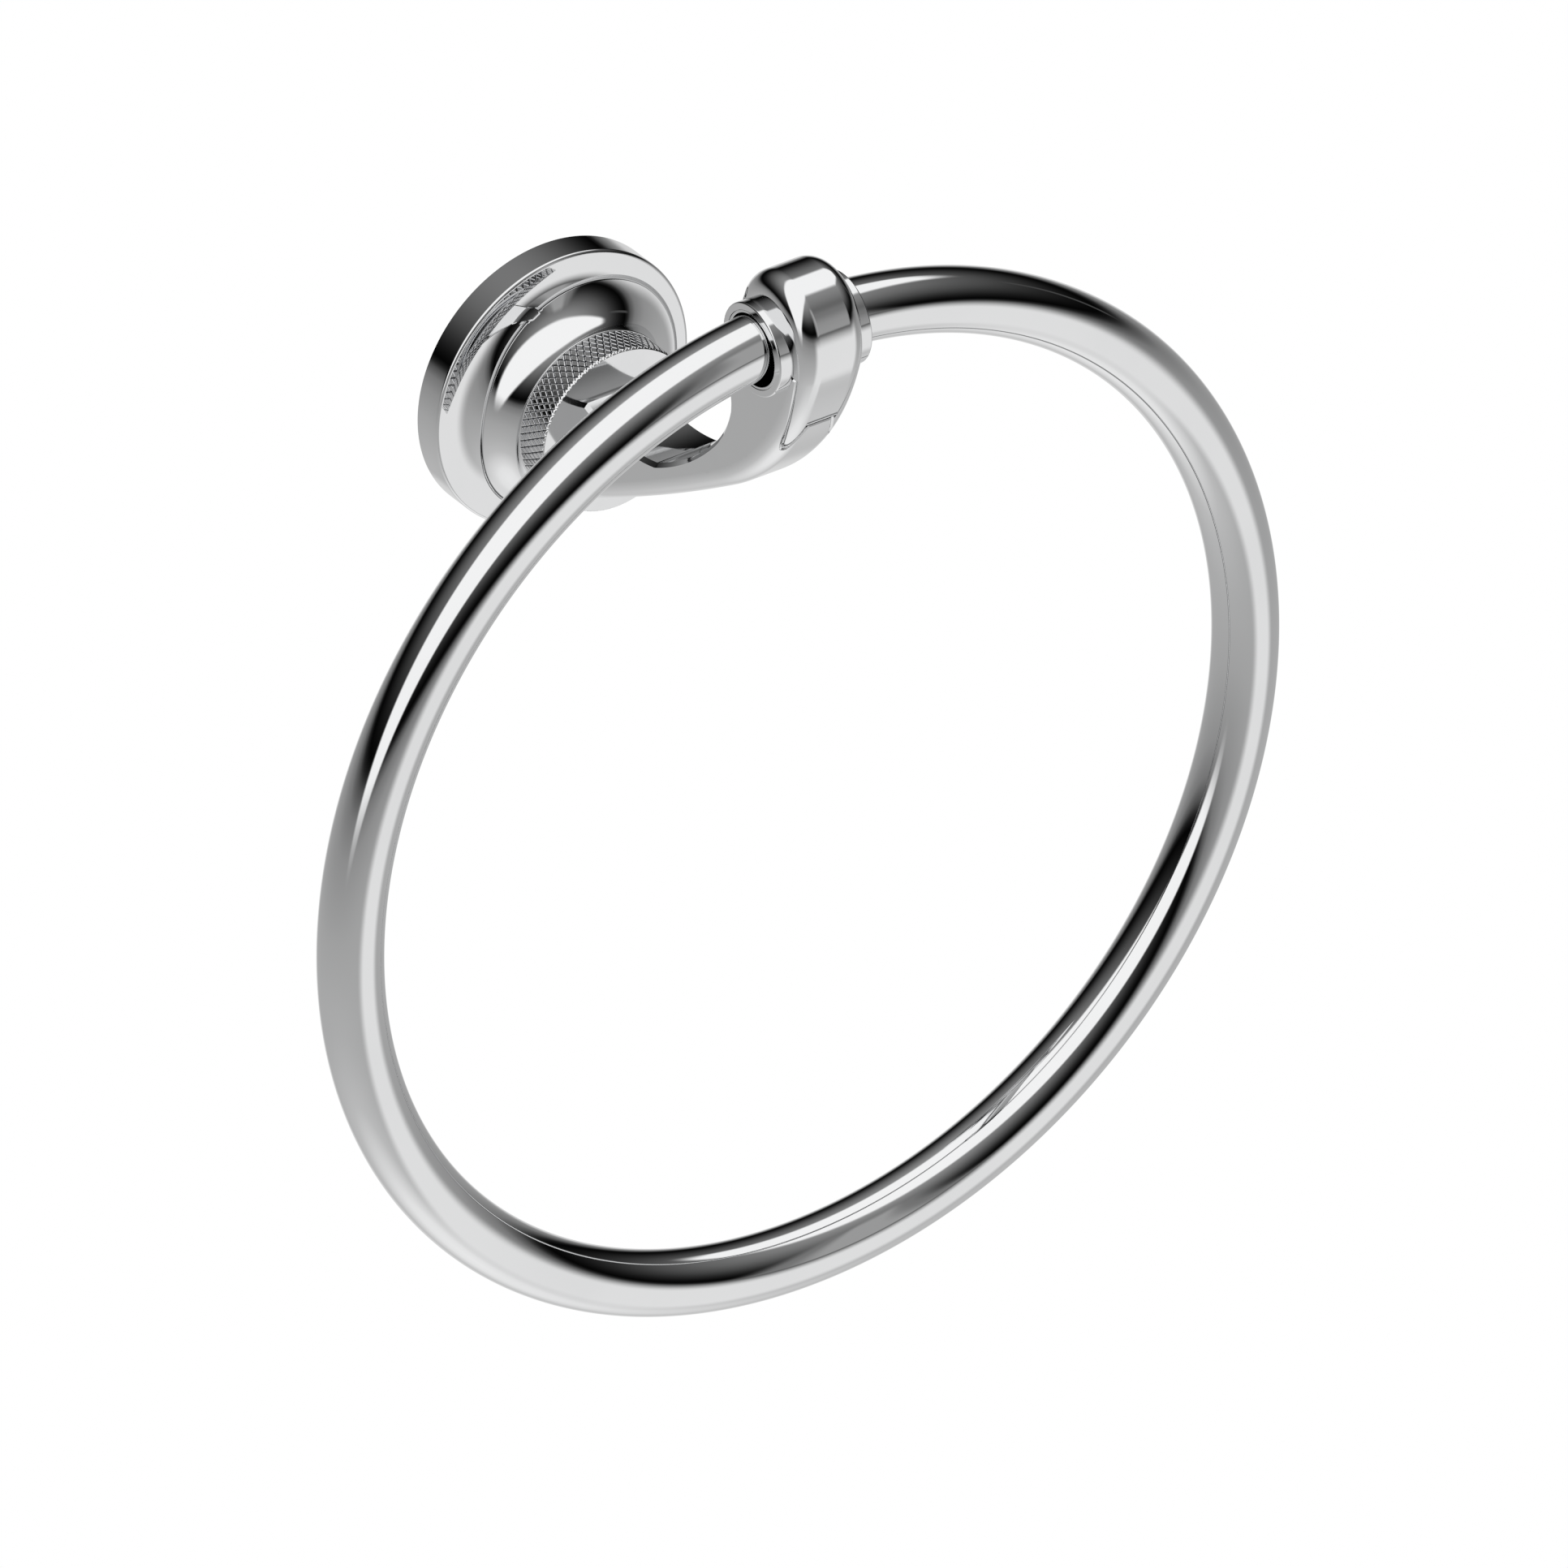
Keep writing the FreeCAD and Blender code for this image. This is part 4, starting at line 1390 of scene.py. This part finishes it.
@dataclass
class KnurledCollar:
    """The collar between the flange's neck and the arm, with flat-topped diamond teeth.

    Attributes:
        bore: radius of its hole.
        radius: radius over the teeth.
        lip_radius: radius of the plain lip at its back.
        lip_width: width of that lip, which is half round.
        lip_rows: number of mesh rows over the lip.
        back: distance of its back from the wall.
        face: distance of its front face from the wall.
        edge: bevel of the outer edges.
        teeth: number of teeth in one row round the collar.
        rows: number of mesh rows over the teeth.
        cells: mesh cells across one tooth.
        groove: depth below the tops at a groove's middle and at each cell beside it.
        bend_angle: least angle of a hard edge, in degrees.
    """

    bore: float = 9.005
    radius: float = 14.9
    lip_radius: float = 15.07
    lip_width: float = 0.35
    lip_rows: int = 10
    back: float = 14.45
    face: float = 21.1
    edge: float = 0.3
    teeth: int = 72
    rows: int = 35
    cells: int = 12
    groove: tuple[float, ...] = (0.2, 0.035)
    bend_angle: float = 44.0

    def depth(self, column: int, row: int) -> float:
        """Return how deep the surface lies below the tops of the teeth.

        Args:
            column: mesh column round the collar.
            row: mesh row along the collar.

        Returns:
            The depth in millimetres.
        """
        away = min(self.away(column + row), self.away(column - row))
        return self.groove[away] if away < len(self.groove) else 0.0

    def away(self, count: int) -> int:
        """Return how many cells a place lies from the nearest groove, counted across the grooves."""
        return min(count % self.cells, -count % self.cells)

    def build(self) -> Piece:
        """Build the collar's mesh.

        Returns:
            The new object.
        """
        lathe = Lathe(centre=(0.0, 0.0, 0.0), axis=(0.0, -1.0, 0.0), segments=self.teeth * self.cells)
        angles = circle(lathe.segments)
        start, finish = self.back + self.lip_width, self.face
        shape = bmesh.new()
        rings: list[Row] = []

        def plain(radius: float, along: float) -> None:
            """Add a round row of vertices."""
            rings.append([shape.verts.new(lathe.point(radius, along, angle)) for angle in angles])

        plain(self.bore, self.back)
        lip = self.lip_width / 2
        for step in range(self.lip_rows + 1):
            turn = math.pi * (step / self.lip_rows - 0.5)
            plain(self.lip_radius - lip + lip * math.cos(turn), self.back + lip + lip * math.sin(turn))
        before_teeth = len(rings)
        for row in range(self.rows + 1):
            along = start + (finish - start) * row / self.rows
            limit = self.radius - max(0.0, self.edge - (finish - along))
            radii = [min(limit, self.radius - self.depth(column, row)) for column in range(lathe.segments)]
            rings.append([shape.verts.new(lathe.point(radius, along, angle))
                          for radius, angle in zip(radii, angles)])
        plain(self.radius - self.groove[0] - self.edge, finish)
        plain(self.bore, finish)
        for number, ring in enumerate(rings):
            after = rings[(number + 1) % len(rings)]
            row = number - before_teeth
            for n in range(lathe.segments):
                m = (n + 1) % lathe.segments
                corners = (ring[n], ring[m], after[m], after[n])
                if self.away(n - row) < self.away(n + row + 1):
                    parts = ((0, 1, 2), (0, 2, 3))
                else:
                    parts = ((0, 1, 3), (1, 2, 3))
                for part in parts:
                    shape.faces.new([corners[k] for k in part])
        made = keep("collar_knurl", shape)
        made.data.shade_smooth()
        made.data.set_sharp_from_angle(angle=math.radians(self.bend_angle))
        return made

    def place(self, material: Material) -> None:
        """Build the collar and set it in place of its plain node.

        Args:
            material: its finish.
        """
        piece = self.build()
        dress(piece, material)
        fit(piece, Body.WALL, Slot.KNURL, "knurled_collar")


@dataclass
class SwingRing:
    """The ring that hangs through the eye.

    Attributes:
        radius: from its centre to the middle of its tube.
        tube: radius of its tube.
        centre_out: distance of its centre from the wall.
        centre_up: height of its centre, negative below the origin.
        segments: sections round the ring.
        sides: stretches round the tube.
    """

    radius: float = 89.0
    tube: float = 5.55
    centre_out: float = EYE_AXIS[0]
    centre_up: float = -43.12
    segments: int = 480
    sides: int = 72

    def place(self, material: Material) -> None:
        """Build the ring and set it in place of its node.

        Args:
            material: its finish.
        """
        lathe = Lathe((0.0, -self.centre_out, self.centre_up), (0.0, -1.0, 0.0), segments=self.segments)
        section = Outline(self.radius + self.tube, 0.0).arc((self.radius, 0.0), 360.0, self.sides)
        piece = lathe.turn("towel_ring_tube", section)
        dress(piece, material)
        fit(piece, Body.RING, Slot.TUBE, "ring")


@dataclass
class DressedNodes:
    """The frame's own pieces, which keep their shape and get their finish.

    Attributes:
        names: names of the nodes.
        material: their finish.
    """

    names: tuple[str, ...]
    material: Material

    def place(self) -> None:
        """Dress the nodes."""
        for name in self.names:
            dress(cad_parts[name], self.material)
            LOG.info("%s: dressed with %s", name, self.material.name)


def direction(azimuth: float, elevation: float) -> Vector:
    """Return the unit direction of an azimuth, from -Y towards +X, and an elevation, both in degrees."""
    a, e = math.radians(azimuth), math.radians(elevation)
    return Vector((math.sin(a) * math.cos(e), -math.cos(a) * math.cos(e), math.sin(e)))


def towards(tone: Number, target: float, mask: Number) -> Number:
    """Return a tone moved towards a target by a mask."""
    return tone + (target - tone) * mask


@dataclass(frozen=True)
class Patch:
    """A patch of one tone on the tent, with soft edges.

    Attributes:
        tone: its display grey.
        azimuth: direction of its middle.
        sides: angles from the middle at which it has ended and is still full.
        low: elevations at which its lower edge begins and is full.
        high: elevations at which its upper edge has ended and is still full.
    """

    tone: float
    azimuth: float
    sides: tuple[float, float]
    low: tuple[float, float]
    high: tuple[float, float]

    def over(self, graph: Graph, tone: Number, azimuth: Number, elevation: Number) -> Number:
        """Lay the patch over the tent.

        Args:
            graph: the world's graph.
            tone: the tone so far.
            azimuth: direction round the object, in degrees.
            elevation: direction above the horizon, in degrees.

        Returns:
            The tone with the patch.
        """
        wide = graph.step(abs(azimuth - self.azimuth), *self.sides)
        mask = wide * graph.step(elevation, *self.high) * graph.step(elevation, *self.low)
        return towards(tone, self.tone, mask)


@dataclass
class Studio:
    """A white tent of soft light round the object, as its mirror surfaces show it.

    Tones are display greys from 0 to 255. Directions are in degrees: an azimuth from -Y towards +X and an
    elevation.

    Attributes:
        gain: light of the tent, which makes up for what the chrome swallows.
        gradient: pairs of elevation and tone, from floor to roof.
        patches: the pools on the floor, the upright band over the front one and a weak thin line.
        strip_tone: tone of the long overhead strip light.
        strip_edges: directions that the strip's front and back edge face.
        strip_soft: softness of those edges, in degrees.
        strip_ends: elevations between which the strip's left and right end begin.
        strip_middle: part along X between which the one end takes over from the other.
        floor_depth: how far the pale floor lies below the origin, in metres.
        floor_size: width of that floor in metres.
    """

    gain: float = 1.25
    gradient: tuple[tuple[float, float], ...] = (
        (-90, 231), (-77, 225), (-66, 205), (-57, 185), (-42, 171), (-27, 160), (-12, 141), (-4, 118),
        (1, 78), (4, 30), (7, 4), (12, 18), (17, 35), (27, 70), (37, 97), (47, 118), (58, 136), (62, 163),
        (66, 214), (70, 234), (78, 243), (90, 245))
    patches: tuple[Patch, ...] = (
        Patch(221.0, 28.0, (40.0, 16.0), (-80.0, -55.0), (4.0, -15.0)),
        Patch(200.0, 150.0, (28.0, 12.0), (-62.0, -46.0), (-4.0, -16.0)),
        Patch(115.0, 25.0, (14.0, 8.0), (0.0, 3.0), (50.0, 38.0)),
        Patch(152.0, 25.0, (8.0, 3.0), (0.0, 3.0), (50.0, 38.0)),
        Patch(66.0, 93.0, (3.0, 1.0), (2.0, 6.0), (28.0, 22.0)),
    )
    strip_tone: float = 242.0
    strip_edges: tuple[tuple[float, float], ...] = ((7.9, 27.2), (-148.0, 27.0))
    strip_soft: float = 3.2
    strip_ends: tuple[tuple[float, float], ...] = ((-18.0, 3.0), (28.0, 37.0))
    strip_middle: tuple[float, float] = (0.05, -0.05)
    floor_depth: float = 0.45
    floor_size: float = 8.0

    def light(self) -> None:
        """Build the tent as the scene's world."""
        world = bpy.data.worlds.new("soft_tent")
        world.use_nodes = True
        bpy.context.scene.world = world
        graph = Graph(world.node_tree)
        way = graph.node("ShaderNodeTexCoord").outputs["Generated"]
        parts = graph.node("ShaderNodeSeparateXYZ", None, {0: way})
        x, y, z = (graph.number(socket) for socket in parts.outputs)
        elevation = graph.math("ARCSINE", z) * math.degrees(1)
        azimuth = graph.math("ARCTAN2", x, y * -1.0) * math.degrees(1)
        tone = self._gradient_tone(graph, elevation)
        for patch in self.patches:
            tone = patch.over(graph, tone, azimuth, elevation)
        tone = self._with_strip(graph, tone, way, x, elevation)
        linear = ((tone / BRIGHTEST + CURVE_OFFSET) / (1 + CURVE_OFFSET)) ** CURVE_POWER
        colour = graph.node("ShaderNodeCombineColor", None, {"Red": linear, "Green": linear, "Blue": linear})
        tent = graph.node("ShaderNodeBackground", None, {"Color": colour.outputs[0], "Strength": self.gain})
        sweep = graph.node("ShaderNodeBackground", None, {"Color": WHITE, "Strength": 1.0})
        seen = graph.node("ShaderNodeLightPath").outputs["Is Camera Ray"]
        mixed = graph.node("ShaderNodeMixShader", None, {0: seen, 1: tent.outputs[0], 2: sweep.outputs[0]})
        graph.node("ShaderNodeOutputWorld", None, {"Surface": mixed.outputs[0]})

    def _gradient_tone(self, graph: Graph, elevation: Number) -> Number:
        """Build the tent's tone from floor to roof.

        Args:
            graph: the world's graph.
            elevation: direction above the horizon, in degrees.

        Returns:
            The tone as a display grey.
        """
        stops = [((height + 90) / 180, grey / BRIGHTEST) for height, grey in self.gradient]
        ramp = graph.node("ShaderNodeValToRGB", {"stops": stops}, {0: (elevation + 90.0) / 180.0})
        return graph.number(ramp.outputs[0]) * BRIGHTEST

    def _with_strip(self, graph: Graph, tone: Number, way: Socket, x: Number, elevation: Number) -> Number:
        """Add the long overhead strip light, which narrows towards both of its ends.

        Args:
            graph: the world's graph.
            tone: the tone so far.
            way: the direction that is looked in.
            x: its part along X.
            elevation: direction above the horizon, in degrees.

        Returns:
            The tone with the strip.
        """
        soft = math.sin(math.radians(self.strip_soft))
        front, back = (graph.step(graph.dot(way, direction(*edge)), -soft, soft) for edge in self.strip_edges)
        left, right = (graph.step(elevation, *end) for end in self.strip_ends)
        ends = right + (left - right) * graph.step(x, *self.strip_middle)
        return towards(tone, self.strip_tone, front * back * ends)

    def floor(self) -> None:
        """Lay the pale floor, which lights evenly and shows only from above."""
        half = self.floor_size / 2
        shape = bmesh.new()
        corners = [shape.verts.new((i * half, j * half, -self.floor_depth)) for i, j in
                   ((-1, -1), (1, -1), (1, 1), (-1, 1))]
        shape.faces.new(corners)
        made = keep("pale_floor", shape)
        material = bpy.data.materials.new("pale_floor_finish")
        material.use_nodes = True
        graph = Graph(material.node_tree)
        under = graph.node("ShaderNodeNewGeometry").outputs["Backfacing"]
        pale = graph.node("ShaderNodeEmission", None, {"Color": WHITE, "Strength": 1.0})
        clear = graph.node("ShaderNodeBsdfTransparent")
        mixed = graph.node("ShaderNodeMixShader", None, {0: under, 1: pale.outputs[0], 2: clear.outputs[0]})
        graph.node("ShaderNodeOutputMaterial", None, {"Surface": mixed.outputs[0]})
        dress(made, material)
        made.visible_glossy = False
        made.visible_diffuse = False


@dataclass
class PhotoCamera:
    """The camera at the photograph's viewing angle.

    Attributes:
        azimuth: turn of the camera from straight in front of the wall, positive to the right.
        elevation: height of the camera above the horizon.
        width: what the square picture spans, in millimetres.
        across: the picture's middle along the camera's right-hand axis, in millimetres.
        up: the picture's middle along the camera's upward axis, in millimetres.
        distance: from the object to the camera, in metres.
        reach: how far the camera sees, in metres.
    """

    azimuth: float = -35.0
    elevation: float = 32.0
    width: float = 255.46
    across: float = 39.22
    up: float = -66.84
    distance: float = 1.2
    reach: float = 20.0

    def place(self) -> None:
        """Make the camera and set it as the scene's."""
        turn = math.radians(self.azimuth)
        back = direction(self.azimuth, self.elevation)
        right = Vector((math.cos(turn), math.sin(turn), 0.0))
        upward = back.cross(right)
        data = bpy.data.cameras.new("photo_camera")
        data.type = "ORTHO"
        data.ortho_scale = self.width * MM
        data.clip_end = self.reach
        made = bpy.data.objects.new("photo_camera", data)
        middle = (right * self.across + upward * self.up) * MM
        turned = Matrix((right, upward, back)).transposed().to_4x4()
        made.matrix_world = Matrix.Translation(middle + back * self.distance) @ turned
        bpy.context.scene.collection.objects.link(made)
        bpy.context.scene.camera = made


def main() -> None:
    """Build the studio and every piece in order."""
    logging.basicConfig(level=logging.INFO, format="%(name)s %(message)s")
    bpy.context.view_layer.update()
    bpy.context.scene.view_settings.view_transform = "Standard"
    PhotoCamera().place()
    studio = Studio()
    studio.light()
    studio.floor()
    plate = CHROME_PLATE.material()
    liner = LINER_CHROME.material()
    WallFlange().place(plate)
    Hook().place(plate)
    for side, hand in (("left", -1.0), ("right", 1.0)):
        EyeBush(side, hand).place(plate, liner)
    DressedNodes(("wall_bracket",), BRACKET_STEEL.material()).place()
    DressedNodes(("flange_set_screw",), SCREW_STEEL.material()).place()
    DressedNodes(("arm_pin", "cap_dowel_left", "cap_dowel_right"), PIN_STEEL.material()).place()
    DressedNodes(("draw_bolt",), BOLT_STEEL.material()).place()
    DressedNodes(("plain_washer", "spring_washer"), SPRING_STEEL.material()).place()
    KnurledCollar().place(KNURLED_CHROME.material())
    SwingRing().place(CHROME_TUBE.material())


if __name__ == "__main__":
    main()
